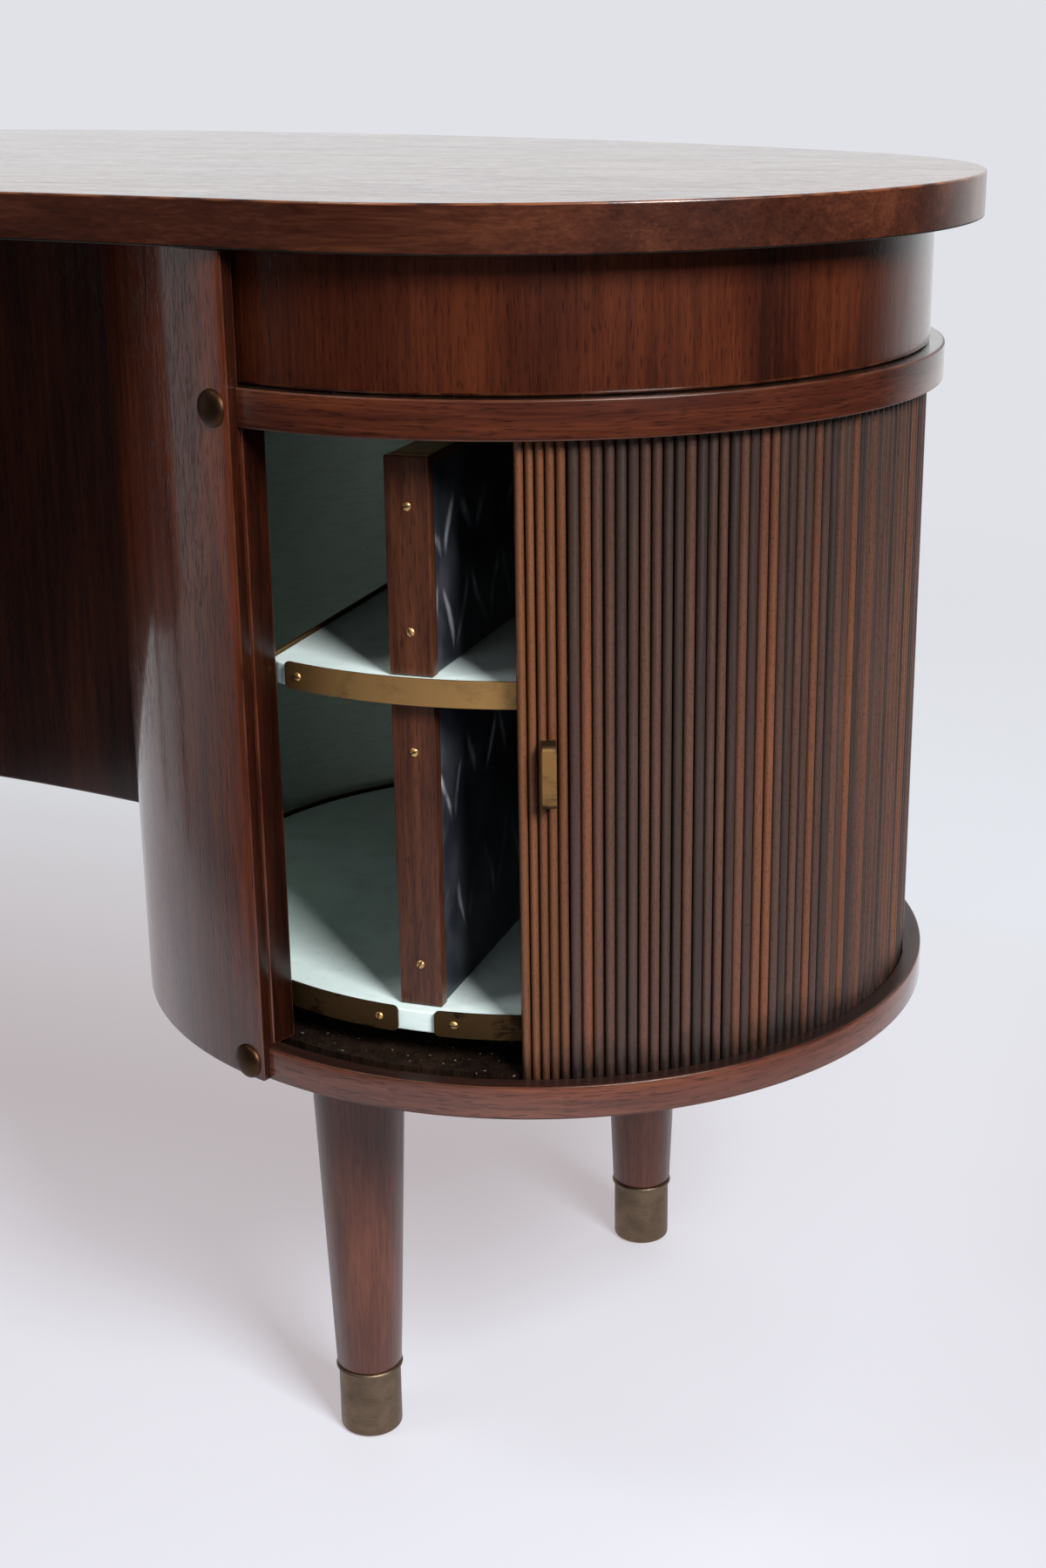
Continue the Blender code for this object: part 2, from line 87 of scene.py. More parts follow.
HANDLE_FROM_EDGE = 0.0165
DISC_RADIUS = 0.2074
DISC_BOTTOM = 0.3085
DISC_TOP = 0.3205
SHELF_BOTTOM = 0.493
SHELF_TOP = 0.505
SHELF_CHORD = 0.085
SHELF_CORNER = 0.012
STRIP_INNER = 0.2080
STRIP_OUTER = 0.2095
STRIP_HEIGHT = 0.0145
STRIP_LIP = 0.002
STRIP_GAP = 0.0105
BOARD_HALF = 0.011
EDGING_HALF = 0.012
EDGING_FACE = 0.1999
EDGING_DEPTH = 0.008
EDGING_SCREWS = (0.3445, 0.464, 0.5286, 0.5937)
PARTITION_TOP = 0.6193
LIPPING = 0.006
FRONT_LEG = (-0.063, -0.133)
BACK_LEG = (0.020, 0.145)
LEG_TOP_RADIUS = 0.0288
LEG_FOOT_RADIUS = 0.0196
FERRULE_HEIGHT = 0.0445
FERRULE_RADIUS = 0.0189
FERRULE_LIP = 0.0016
FERRULE_ROUND = 0.0022
CAP_RADIUS = 0.0098
CAP_RISE = 0.0042
CAP_LEVELS = (0.2834, 0.6425)
CAP_FROM_END = 2.9
MODESTY_RADIUS = 1.400
MODESTY_THICKNESS = 0.018
MODESTY_Y = -1.3221
MODESTY_BITE = 0.0002
SEAT = 0.0003
REST_TURNS = {"right": (36.5, 2.8), "left": (0.0, 0.0)}
SIDES = {"right": 1, "left": -1}

# Radii of the rounded arrises, in metres, and the faces in each quarter round and round each leg
TOP_ARRIS = 0.0011
BOARD_ARRIS = 0.0010
APRON_ARRIS = 0.0018
POST_ARRIS = 0.0006
TRAY_ARRIS = 0.0008
LAMINATE_ARRIS = 0.0005
THIN_ARRIS = 0.0003
ROUND_STEPS = 4
TURNED_STEPS = 72

# Least turns, in degrees, of a plan's corner that is rounded and of an edge that is shaded as sharp
CORNER_ANGLE = 35.0
SHARP_ANGLE = 38.0

# Tones of the reeds, from dark to light: those next to the leading board, then those to draw from
FIRST_REEDS = (0.24, 0.86, 0.50, 0.40, 0.16, 0.22, 0.52, 0.42, 0.12, 0.10, 0.50)
REED_TONES = (0.02, 0.10, 0.18, 0.26, 0.34, 0.42, 0.50, 0.58, 0.68, 0.82)
LEAD_TONES = (0.30, 0.40, 0.50)
# What differs by chance from reed to reed: tone, width and lean as shares of the pitch, and the crest's drop
TONE_SPREAD = 0.04
REED_WIDTHS = (0.84, 0.95)
REED_LEAN = 0.05
REED_DROP = 0.0003

# Zig-zag scuffs on the partitions: pitch, place of a peak, lowest and highest level
SCUFFS = (
    (0.048, -0.154, 0.565, 0.598),
    (0.048, -0.185, 0.512, 0.552),
    (0.050, -0.150, 0.418, 0.462),
    (0.046, -0.176, 0.350, 0.398),
)


# Shader nodes

def feed(made, inputs):
    """Gives a node its inputs; each is a socket to link or a value to set."""
    for key, value in inputs.items():
        if isinstance(value, bpy.types.NodeSocket):
            made.id_data.links.new(value, made.inputs[key])
        else:
            made.inputs[key].default_value = value


def node(tree, kind, inputs=None, **attributes):
    made = tree.nodes.new(kind)
    for key, value in attributes.items():
        setattr(made, key, value)
    feed(made, inputs or {})
    return made


def after(kind, inputs, **attributes):
    """Makes a node in the tree that its linked inputs come from."""
    tree = next(value.id_data for value in inputs.values() if isinstance(value, bpy.types.NodeSocket))
    return node(tree, kind, inputs, **attributes)


def maths(operation, first, second=0.0):
    return after("ShaderNodeMath", {0: first, 1: second}, operation=operation).outputs[0]


def times(first, second):
    return maths("MULTIPLY", first, second)


def minus(first, second):
    return maths("SUBTRACT", first, second)


def total(*shares):
    """Adds up values, each times its share."""
    whole, *others = [times(value, share) for value, share in shares]
    for part in others:
        whole = maths("ADD", whole, part)
    return whole


def split(vector):
    return after("ShaderNodeSeparateXYZ", {0: vector}).outputs


def join(*parts):
    return after("ShaderNodeCombineXYZ", dict(enumerate(parts))).outputs[0]


def dot(vector, way):
    return after("ShaderNodeVectorMath", {0: vector, 1: way}, operation="DOT_PRODUCT").outputs["Value"]


def stored(tree, name):
    """A value that the mesh keeps for each point."""
    return node(tree, "ShaderNodeAttribute", attribute_name=name).outputs["Fac"]


def level(value, low, high, start=0.0, end=1.0):
    """Takes a value from one range to another, held inside it."""
    inputs = {"Value": value, "From Min": low, "From Max": high, "To Min": start, "To Max": end}
    return after("ShaderNodeMapRange", inputs).outputs[0]


def noise(vector, scale, detail=2.0, distortion=0.0):
    """Noise with one scale or one for each axis, in features per metre."""
    scales = scale if isinstance(scale, tuple) else (scale,) * 3
    scaled = after("ShaderNodeVectorMath", {0: vector, 1: scales}, operation="MULTIPLY").outputs[0]
    inputs = {"Vector": scaled, "Scale": 1.0, "Detail": detail, "Distortion": distortion}
    return after("ShaderNodeTexNoise", inputs).outputs[0]


def ramp(value, *stops):
    """A colour for each place on the way from 0 to 1."""
    made = after("ShaderNodeValToRGB", {"Fac": value})
    elements = made.color_ramp.elements
    while len(elements) < len(stops):
        elements.new(1.0)
    for element, (place, colour) in zip(elements, stops):
        element.position = place
        element.color = (*colour, 1.0)
    return made.outputs["Color"]


def blend(factor, first, second):
    """Mixes two colours, each a socket or its red, green and blue."""
    first, second = (end if isinstance(end, bpy.types.NodeSocket) else (*end, 1.0) for end in (first, second))
    return after("ShaderNodeMix", {0: factor, 6: first, 7: second}, data_type="RGBA").outputs[2]


def dimmed(colour, share):
    return [share * part for part in colour]


def new_finish(name):
    material = bpy.data.materials.new(name)
    material.use_nodes = True
    tree = material.node_tree
    return material, tree, tree.nodes["Principled BSDF"]


def place(tree):
    return node(tree, "ShaderNodeTexCoord").outputs["Object"]


def bump(height, strength, distance):
    inputs = {"Height": height, "Strength": strength, "Distance": distance}
    return after("ShaderNodeBump", inputs).outputs["Normal"]


# Grain directions: each gives across, depth and along the grain

upright = place


def lengthwise(tree):
    """Grain along the desk's length."""
    parts = split(place(tree))
    return join(parts[1], parts[2], parts[0])


def drum_grain(side, seam_behind=False, around=False):
    """Grain up a drum or round it, about its axis; the pattern's seam is at its kneehole or its outer side."""
    sign = -1.0 if seam_behind else 1.0

    def grain(tree):
        parts = split(place(tree))
        x = times(minus(parts[0], side * DRUM_X), side * sign)
        y = times(minus(parts[1], DRUM_Y), sign)
        run = times(maths("ARCTAN2", y, x), DOOR_OUTER)
        radius = maths("SQRT", maths("ADD", maths("POWER", x, 2.0), maths("POWER", y, 2.0)))
        return join(parts[2], radius, run) if around else join(run, radius, parts[2])
    return grain


# Finishes

GRAIN_DEPTH = 0.00012
SKIN_DEPTH = 0.0003
DUST = (0.42, 0.36, 0.30)
# Near black that the reeds take at their foot, just above the base plate
FOOT_DARK = (0.006, 0.004, 0.0035)
# Painted shade that the reeds take towards the door's top, under the ring's overhang
RING_SHADE = (0.006, 0.003, 0.002)


def wood(
    name, grain, tones, worn=None, gloss=0.12, coat=1.0, stripes=0.34, coarse=1.0, relief=0.22, dust=0.0, veil=0.0,
    porous=0.60,
):
    """Lacquered wood with broad figure, ribbons, fibres and dark pores.

    worn is the colour of a rubbed edge, dust the share of pale specks, veil how far the coat thins over fibres.
    """
    material, tree, shader = new_finish(name)
    vector = grain(tree)
    broad = noise(vector, (16.0, 16.0, 3.0), 3.0, 0.9)
    ribbon = noise(vector, (150.0 / coarse, 150.0 / coarse, 7.0 / coarse), 3.0, 0.5)
    fibre = noise(vector, (620.0 / coarse, 620.0 / coarse, 24.0 / coarse), 3.0, 0.4)
    pore = noise(vector, (1300.0, 1300.0, 110.0), 1.0)
    tone = total((broad, 0.74 - stripes), (ribbon, stripes), (fibre, 0.26))
    colour = ramp(tone, (0.36, tones[0]), (0.50, tones[1]), (0.64, tones[2]))
    pores = level(pore, 0.56, 0.70)
    colour = blend(times(pores, porous), colour, dimmed(tones[0], 0.3))
    if worn:
        rub = level(noise(vector, (70.0, 70.0, 30.0), 4.0), 0.40, 0.62)
        colour = blend(times(rub, 0.85), colour, worn)
    if dust:
        specks = level(noise(place(tree), 300.0, 1.0), 0.72, 0.76, 0.0, dust)
        colour = blend(specks, colour, DUST)
    smudge = noise(vector, (30.0, 30.0, 12.0), 4.0)
    height = minus(times(fibre, 0.4), pores)
    skin = bump(height, relief, GRAIN_DEPTH)
    feed(shader, {
        "Base Color": colour,
        "Roughness": level(smudge, 0.3, 0.7, 0.30, 0.46),
        "Normal": skin,
        "Coat Normal": skin,
        "Coat Weight": level(fibre, 0.35, 0.65, coat - veil, coat) if veil else coat,
        "Coat Roughness": gloss,
        "Specular IOR Level": 0.08,
    })
    return material


def reeds(name, tones, side, under_top):
    """Reeded wood: tone and valley shade are in the mesh; painted shade darkens the valleys and the sheet under the
    ring, and it darkens at its foot.
    """
    material, tree, shader = new_finish(name)
    vector = drum_grain(side)(tree)
    own = stored(tree, "reed_tone")
    drift = noise(vector, (160.0, 160.0, 5.0), 2.0)
    streak = noise(vector, (700.0, 700.0, 16.0), 3.0)
    fleck = noise(vector, (900.0, 900.0, 700.0), 2.0)
    tone = total((own, 0.64), (drift, 0.24), (streak, 0.12))
    colour = ramp(tone, *[(0.15 + 0.70 * index / (len(tones) - 1), part) for index, part in enumerate(tones)])
    dark = level(fleck, 0.50, 0.68)
    colour = blend(times(dark, 0.5), colour, dimmed(tones[0], 0.3))
    # Painted shade: the reeds' flanks and the valleys between them darken towards near black
    valley_shade = stored(tree, "reed_valley_shade")
    colour = blend(valley_shade, colour, dimmed(tones[0], 0.12))
    rise = split(place(tree))[2]
    # Painted shade: the reeds darken towards the door's top, under the ring's overhang, as far as under_top says
    colour = blend(level(rise, 0.47, 0.625, 0.0, under_top), colour, RING_SHADE)
    # The reeds turn near black at their foot, just above the base plate, along a wandering edge
    foot_wander = noise(vector, (60.0, 60.0, 40.0), 3.0)
    foot = maths("ADD", rise, level(foot_wander, 0.3, 0.7, -0.008, 0.008))
    colour = blend(level(foot, BASE_TOP, BASE_TOP + 0.022, 0.85, 0.0), colour, FOOT_DARK)
    skin = bump(minus(streak, dark), 0.30, GRAIN_DEPTH)
    rough = level(streak, 0.3, 0.7, 0.34, 0.50)
    feed(shader, {"Base Color": colour, "Roughness": rough, "Normal": skin, "Specular IOR Level": 0.5})
    return material


def brass(name, bright, dull, polish):
    """Aged brass: warm metal under brown tarnish, in patches and streaks and where the mesh says so."""
    material, tree, shader = new_finish(name)
    vector = place(tree)
    patch = noise(vector, 55.0, 5.0, 0.6)
    streak = noise(vector, (240.0, 240.0, 900.0), 2.0)
    mixed = total((patch, 0.75), (streak, 0.25))
    own = stored(tree, "tarnish")
    tarnish = maths("ADD", level(mixed, polish, polish + 0.25, 0.0, 0.45), own)
    tarnish = level(tarnish, 0.0, 1.0)
    feed(shader, {
        "Base Color": blend(tarnish, bright, dull),
        "Roughness": level(tarnish, 0.0, 1.0, 0.46, 0.60),
        "Normal": bump(mixed, 0.12, SKIN_DEPTH),
        "Metallic": 1.0,
    })
    return material


def paint(name, colour, dirt):
    """Old pale paint, brushed and dusty."""
    material, tree, shader = new_finish(name)
    vector = place(tree)
    cloud = noise(vector, 14.0, 4.0)
    brush = noise(vector, (60.0, 60.0, 420.0), 3.0)
    speck = level(noise(vector, 420.0, 2.0), 0.68, 0.76)
    shade = ramp(cloud, (0.3, dimmed(colour, 0.90)), (0.7, colour))
    shade = blend(level(brush, 0.45, 0.75, 0.0, 0.14), shade, dirt)
    shade = blend(times(speck, 0.45), shade, dirt)
    rough = level(brush, 0.3, 0.7, 0.32, 0.5)
    feed(shader, {"Base Color": shade, "Roughness": rough, "Normal": bump(brush, 0.10, SKIN_DEPTH)})
    return material


def laminate(name):
    """Blue-black sheet with chalky zig-zag scuffs, under a brown lipping at the partition's top."""
    material, tree, shader = new_finish(name)
    vector = place(tree)
    parts = split(vector)
    wander = noise(vector, 18.0, 2.0)
    along = maths("ADD", minus(parts[1], DRUM_Y), level(wander, 0.3, 0.7, -0.004, 0.004))
    marks = None
    for pitch, peak, low, high in SCUFFS:
        wave = maths("PINGPONG", minus(along, peak), pitch / 2)
        line = minus(high, times(wave, 2 * (high - low) / pitch))
        gap = maths("ABSOLUTE", minus(parts[2], line))
        mark = level(gap, 0.0010, 0.0075, 1.0, 0.0)
        from_turn = maths("MINIMUM", wave, minus(pitch / 2, wave))
        mark = times(mark, level(from_turn, 0.0015, 0.006))
        marks = mark if marks is None else maths("MAXIMUM", marks, mark)
    broken = level(noise(vector, (40.0, 40.0, 30.0), 4.0), 0.40, 0.60, 0.05, 1.0)
    chalk = times(times(marks, broken), 0.60)
    dust = level(noise(vector, 35.0, 5.0), 0.45, 0.75, 0.0, 0.10)
    shade = blend(maths("MAXIMUM", chalk, dust), (0.018, 0.020, 0.028), (0.52, 0.54, 0.58))
    lipping = level(parts[2], PARTITION_TOP - LIPPING - 0.0002, PARTITION_TOP - LIPPING + 0.0002)
    shade = blend(lipping, shade, (0.050, 0.022, 0.010))
    rough = level(chalk, 0.0, 0.5, 0.30, 0.62)
    skin = bump(noise(vector, 260.0, 2.0), 0.06, SKIN_DEPTH)
    feed(shader, {"Base Color": shade, "Roughness": rough, "Normal": skin})
    return material


def steel(name):
    material, tree, shader = new_finish(name)
    patch = noise(place(tree), 70.0, 4.0)
    shade = ramp(patch, (0.35, (0.30, 0.28, 0.26)), (0.7, (0.46, 0.46, 0.47)))
    rough = level(patch, 0.3, 0.7, 0.5, 0.32)
    feed(shader, {"Base Color": shade, "Roughness": rough, "Metallic": 1.0})
    return material


# Wood tones, each from dark to light, and the colours of rubbed edges
RED = ((0.0200, 0.0042, 0.0024), (0.0560, 0.0115, 0.0050), (0.1180, 0.0280, 0.0095))
DEEP = ((0.0110, 0.0024, 0.0015), (0.0340, 0.0070, 0.0032), (0.0700, 0.0155, 0.0058))
PANEL = ((0.0240, 0.0052, 0.0030), (0.0720, 0.0140, 0.0060), (0.1420, 0.0300, 0.0105))
TABLE = ((0.0340, 0.0095, 0.0060), (0.0860, 0.0265, 0.0140), (0.1500, 0.0520, 0.0270))
INKY = ((0.0040, 0.0024, 0.0018), (0.0110, 0.0062, 0.0042), (0.0280, 0.0150, 0.0085))
CHOCOLATE = (
    (0.0320, 0.0195, 0.0165),
    (0.0560, 0.0285, 0.0215),
    (0.0880, 0.0390, 0.0250),
    (0.1220, 0.0440, 0.0220),
    (0.1900, 0.0600, 0.0230),
)
BROWN = ((0.0170, 0.0040, 0.0025), (0.0470, 0.0108, 0.0055), (0.0960, 0.0245, 0.0100))
SLAB = ((0.0170, 0.0042, 0.0022), (0.0420, 0.0112, 0.0058), (0.0840, 0.0250, 0.0115))
RIM = ((0.0460, 0.0135, 0.0088), (0.1000, 0.0300, 0.0175), (0.1600, 0.0520, 0.0290))
APRON = ((0.0180, 0.0038, 0.0020), (0.0410, 0.0086, 0.0036), (0.0720, 0.0165, 0.0060))
LIP = ((0.0090, 0.0040, 0.0028), (0.0190, 0.0074, 0.0050), (0.0340, 0.0130, 0.0086))
EDGING = ((0.0200, 0.0062, 0.0036), (0.0500, 0.0155, 0.0080), (0.0950, 0.0310, 0.0150))
GOLDEN = ((0.0640, 0.0215, 0.0090), (0.1350, 0.0475, 0.0180), (0.2150, 0.0820, 0.0330))
RAW = ((0.60, 0.27, 0.05), (0.82, 0.40, 0.08), (0.90, 0.50, 0.13))
PANEL_END = [dimmed(tone, 0.36) for tone in DEEP]
RUBBED = (0.2100, 0.0700, 0.0280)
RUBBED_PANEL = (0.080, 0.026, 0.012)
RUBBED_PLATE = (0.085, 0.030, 0.015)

TOP_WOOD = wood("top_wood", lengthwise, TABLE, gloss=0.12, stripes=0.42, coarse=2.2, relief=0.5, veil=0.16)
TOP_SIDE = wood("top_side_wood", lengthwise, SLAB, gloss=0.18, coat=0.75, stripes=0.24, porous=0.22)
TOP_EDGE = wood("top_edge_wood", lengthwise, SLAB, worn=RUBBED, gloss=0.24)
# Painted shade: the slab's lower rounded arris is near black
TOP_ARRIS_SHADE = wood("top_lower_arris_shade", lengthwise, INKY, gloss=0.5, coat=0.05)
MODESTY_WOOD = wood("modesty_wood", upright, DEEP)
MODESTY_EDGE = wood("modesty_edge_wood", upright, RED, worn=RUBBED)
LEG_WOOD = wood("leg_wood", upright, RIM, gloss=0.26, coat=0.55, stripes=0.20, porous=0.26)
EDGING_WOOD = wood("edging_wood", upright, EDGING, gloss=0.30, coat=0.6)
CAP_WOOD = wood("cap_wood", upright, RAW, gloss=0.20)
BRASS = brass("aged_brass", (0.72, 0.415, 0.155), (0.036, 0.021, 0.011), 0.52)
HANDLE_BRASS = brass("handle_brass", (0.74, 0.41, 0.145), (0.050, 0.028, 0.014), 0.50)
SCREW_BRASS = brass("screw_brass", (0.78, 0.47, 0.19), (0.26, 0.15, 0.06), 0.50)
EDGE_BRASS = brass("edge_brass", (0.26, 0.15, 0.06), (0.035, 0.020, 0.010), 0.42)
FERRULE_BRASS = brass("ferrule_brass", (0.195, 0.138, 0.092), (0.048, 0.034, 0.025), 0.40)
CAP_BRASS = brass("dome_brass", (0.058, 0.029, 0.015), (0.028, 0.015, 0.009), 0.42)
MINT = paint("mint_paint", (0.76, 0.89, 0.86), (0.20, 0.20, 0.17))
LINING = paint("lining_paint", (0.84, 0.95, 0.85), (0.16, 0.17, 0.14))
NAVY = laminate("navy_laminate")
STEEL = steel("bearing_steel")
# Painted shadow for the screws' slots
SLOT_SHADOW = paint("slot_shadow", (0.012, 0.009, 0.006), (0.03, 0.02, 0.01))


def drum_woods(name, side):
    """The woods of one drum, whose grain runs up it or round it."""
    behind, before, around = drum_grain(side, True), drum_grain(side), drum_grain(side, around=True)
    return {
        "panel": wood(name + "_panel_wood", behind, PANEL, gloss=0.11, relief=0.40),
        "panel_end": wood(name + "_panel_end_wood", behind, PANEL_END, gloss=0.22, coat=0.6),
        "panel_edge": wood(name + "_panel_edge_wood", behind, DEEP, worn=RUBBED_PANEL),
        "apron": wood(name + "_apron_wood", before, APRON, gloss=0.16, stripes=0.22),
        "ring": wood(name + "_ring_wood", around, BROWN, gloss=0.16),
        "base": wood(name + "_base_wood", around, RIM, gloss=0.13),
        "plate_edge": wood(name + "_plate_edge_wood", around, BROWN, worn=RUBBED_PLATE, gloss=0.34, coat=0.5),
        "lip": wood(name + "_lip_wood", around, LIP, gloss=0.34, coat=0.4),
        "plate_face": wood(name + "_plate_face_wood", upright, INKY, gloss=0.05, relief=0.03, dust=0.5),
        # under_top is how much painted shade the reeds take under the ring
        "reeds": reeds(name + "_reed_wood", CHOCOLATE, side, under_top=0.42),
        "lead": reeds(name + "_lead_wood", GOLDEN, side, under_top=0.06),
    }


DRUM_WOODS = {name: drum_woods(name, side) for name, side in SIDES.items()}


# Meshes

def polar(radius, angle, centre=(0.0, 0.0)):
    turn = radians(angle)
    return (centre[0] + radius * cos(turn), centre[1] + radius * sin(turn))


def arc(radius, start, end, step=1.5, centre=(0.0, 0.0)):
    count = max(1, ceil(abs(end - start) / step - 1e-6))
    return [polar(radius, start + (end - start) * index / count, centre) for index in range(count + 1)]


def quarter(steps):
    """The angles of a quarter turn, in radians."""
    return [radians(90 * step / steps) for step in range(steps + 1)]


def degrees_along(length, radius):
    return degrees(length / radius)


def on_drum(points, side, turn=0.0):
    """Plan points about a drum's axis, turned and mirrored, in the desk's plan."""
    cosine, sine = cos(radians(turn)), sin(radians(turn))
    return [(side * (DRUM_X + x * cosine - y * sine), DRUM_Y + x * sine + y * cosine) for x, y in points]


def drum_frame(side, turn=0.0):
    """The matrix that does the same to a whole mesh."""
    mirror = Matrix.Diagonal((side, 1.0, 1.0, 1.0))
    return mirror @ Matrix.Translation((DRUM_X, DRUM_Y, 0.0)) @ Matrix.Rotation(radians(turn), 4, "Z")


def loft(loops, closed_round=False):
    """Skins loops of points, one to the next, and caps the first and last unless they meet."""
    shape = bmesh.new()
    rows = [[shape.verts.new(point) for point in loop] for loop in loops]
    pairs = list(zip(rows, rows[1:]))
    if closed_round:
        pairs.append((rows[-1], rows[0]))
    for lower, upper in pairs:
        for index in range(len(lower)):
            after = (index + 1) % len(lower)
            shape.faces.new((lower[index], lower[after], upper[after], upper[index]))
    if not closed_round:
        shape.faces.new(rows[0])
        shape.faces.new(rows[-1])
    return shape


def prism(outline, bottom, top):
    return loft([[(x, y, z) for x, y in outline] for z in (bottom, top)])


def eased(outline, radius):
    """An outline with rounded corners: each point, its way out, the way past the round and its corner's number."""
    points = [Vector(point) for point in outline]
    if sum(a.cross(b) for a, b in zip(points, points[1:] + points[:1])) < 0:
        points.reverse()
    rows = []
    corners = 0
    for before, here, after in zip(points[-1:] + points[:-1], points, points[1:] + points[:1]):
        way_in, way_out = (here - before).normalized(), (after - here).normalized()
        normal_in, normal_out = Vector((way_in.y, -way_in.x)), Vector((way_out.y, -way_out.x))
        turn = atan2(way_in.cross(way_out), way_in.dot(way_out))
        middle = (normal_in + normal_out).normalized() / cos(turn / 2)
        if turn < radians(CORNER_ANGLE):
            rows.append((here, middle, middle, 0))
            continue
        corners += 1
        centre = here - middle * radius
        for step in range(ROUND_STEPS + 1):
            way = Matrix.Rotation(turn * step / ROUND_STEPS, 2) @ normal_in
            rows.append((centre + way * radius, way, middle, corners))
    return rows


def rounded_prism(outline, bottom, top, radius, arris=0, sides=0, ends=0, caps=(0, 0), under=None):
    """An upright prism with rounded edges.

    The rounds, sides, ends between two corners and lower and upper caps have their own materials, and the lower rounds
    may have one too.
    """
    rows = eased(outline, radius)
    hold = radius * 0.6
    half = [(radius + hold, 0.0), (radius, 0.0)]
    for swing in quarter(ROUND_STEPS)[1:]:
        half.append((radius * (1 - sin(swing)), radius * (1 - cos(swing))))
    half.append((0.0, radius + hold))
    section = [(inset, bottom + rise) for inset, rise in half]
    section += [(inset, top - rise) for inset, rise in reversed(half)]
    loops = []
    for inset, z in section:
        round_in, flat_in = min(inset, radius), max(0.0, inset - radius)
        spots = [point - way * round_in - past * flat_in for point, way, past, corner in rows]
        loops.append([(spot.x, spot.y, z) for spot in spots])
    shape = loft(loops)
    last = len(loops) - 1
    lower_rounds = range(1, ROUND_STEPS + 1)
    upper_rounds = range(len(half) + 1, len(half) + ROUND_STEPS + 1)
    for number, face in enumerate(shape.faces):
        band, index = divmod(number, len(rows))
        corner, next_corner = rows[index][3], rows[(index + 1) % len(rows)][3]
        if band == last:
            skin = caps[index]
        elif under is not None and band in lower_rounds:
            skin = under
        elif band in lower_rounds or band in upper_rounds or corner == next_corner > 0:
            skin = arris
        elif band in (0, last - 1):
            skin = caps[0 if band == 0 else 1]
        else:
            skin = ends if corner and next_corner else sides
        face.material_index = skin
    return shape


def lathe(profile, steps):
    """Turns a profile of radius and height about Z; points on the axis close it."""
    shape = bmesh.new()
    rows = []
    for radius, height in profile:
        if radius < 1e-7:
            rows.append([shape.verts.new((0.0, 0.0, height))])
        else:
            turns = [2 * pi * index / steps for index in range(steps)]
            rows.append([shape.verts.new((radius * cos(t), radius * sin(t), height)) for t in turns])
    for lower, upper in zip(rows, rows[1:]):
        for index in range(steps):
            after = (index + 1) % steps
            corners = ((lower, index), (lower, after), (upper, after), (upper, index))
            shape.faces.new(list(dict.fromkeys(row[turn % len(row)] for row, turn in corners)))
    return shape


def to_mesh(name, shape):
    bmesh.ops.recalc_face_normals(shape, faces=shape.faces)
    mesh = bpy.data.meshes.new(name)
    shape.to_mesh(mesh)
    shape.free()
    return mesh


def to_scene(name, data):
    obj = bpy.data.objects.new(name, data)
    bpy.context.scene.collection.objects.link(obj)
    return obj


def to_piece(name, shape, body, materials, nodes=(), merge=True):
    """Makes the mesh a piece of the desk that rides on a body and stands for CAD nodes."""
    if merge:
        bmesh.ops.remove_doubles(shape, verts=shape.verts, dist=1e-6)
    for face in shape.faces:
        face.smooth = True
    mesh = to_mesh(name, shape)
    for material in materials:
        mesh.materials.append(material)
    obj = to_scene(name, mesh)
    mesh.set_sharp_from_angle(angle=radians(SHARP_ANGLE))
    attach(obj, body)
    if nodes:
        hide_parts(*nodes)


def sector(inner, outer, start, end):
    return arc(outer, start, end) + arc(inner, end, start)


# The top and the modesty panel

def top_outline():
    waist_turn = degrees(atan2(-WAIST_Y, END_X))
    back_turn = degrees(atan2(-BACK_Y, END_X))
    back_radius = hypot(END_X, BACK_Y) + END_RADIUS
    waist_radius = hypot(END_X, WAIST_Y) - END_RADIUS
    right_end = arc(END_RADIUS, waist_turn - 180, back_turn, 1.5, (END_X, 0.0))
    back = arc(back_radius, back_turn, 180 - back_turn, 0.7, (0.0, BACK_Y))
    left_end = [(-x, y) for x, y in reversed(right_end)]
    waist = arc(waist_radius, 180 - waist_turn, waist_turn, 0.5, (0.0, WAIST_Y))
    return [(x, y - MIDDLE_Y) for x, y in right_end + back[1:-1] + left_end + waist[1:-1]]


def make_top():
    # The slab's lower arris takes the near-black painted shade
    shape = rounded_prism(top_outline(), TOP_BOTTOM, TOP_HEIGHT, TOP_ARRIS, arris=2, sides=1, under=3)
    to_piece("top_slab", shape, "carcass", [TOP_WOOD, TOP_SIDE, TOP_EDGE, TOP_ARRIS_SHADE], ["desk_top"])


def meet_drum(radius):
    """The angle where a bowed face of the modesty panel meets the right drum's panel with no gap."""
    reach = PANEL_OUTER - MODESTY_BITE
    away = hypot(DRUM_X, DRUM_Y - MODESTY_Y)
    share = (radius**2 + away**2 - reach**2) / (2 * radius * away)
    return degrees(atan2(DRUM_Y - MODESTY_Y, DRUM_X) + acos(share))


def make_modesty():
    outer = MODESTY_RADIUS + MODESTY_THICKNESS
    front_turn, back_turn = meet_drum(MODESTY_RADIUS), meet_drum(outer)
    outline = arc(outer, back_turn, 180 - back_turn, 0.5, (0.0, MODESTY_Y))
    outline += arc(MODESTY_RADIUS, 180 - front_turn, front_turn, 0.5, (0.0, MODESTY_Y))
    shape = rounded_prism(outline, LEG_HEIGHT, TOP_BOTTOM - SEAT, BOARD_ARRIS, arris=1)
    materials = [MODESTY_WOOD, MODESTY_EDGE]
    to_piece("modesty_board", shape, "carcass", materials, ["modesty_panel"])


# The drums

def plate_loop(radius, z):
    """A loop of the plate's rim: its own edge in the open, its core under the side panel."""
    points = arc(radius, FRONT_ANGLE, BACK_ANGLE)
    core = min(radius, CORE_RADIUS)
    points += arc(core, BACK_ANGLE, FRONT_ANGLE + 360)
    return [(x, y, z) for x, y in points]


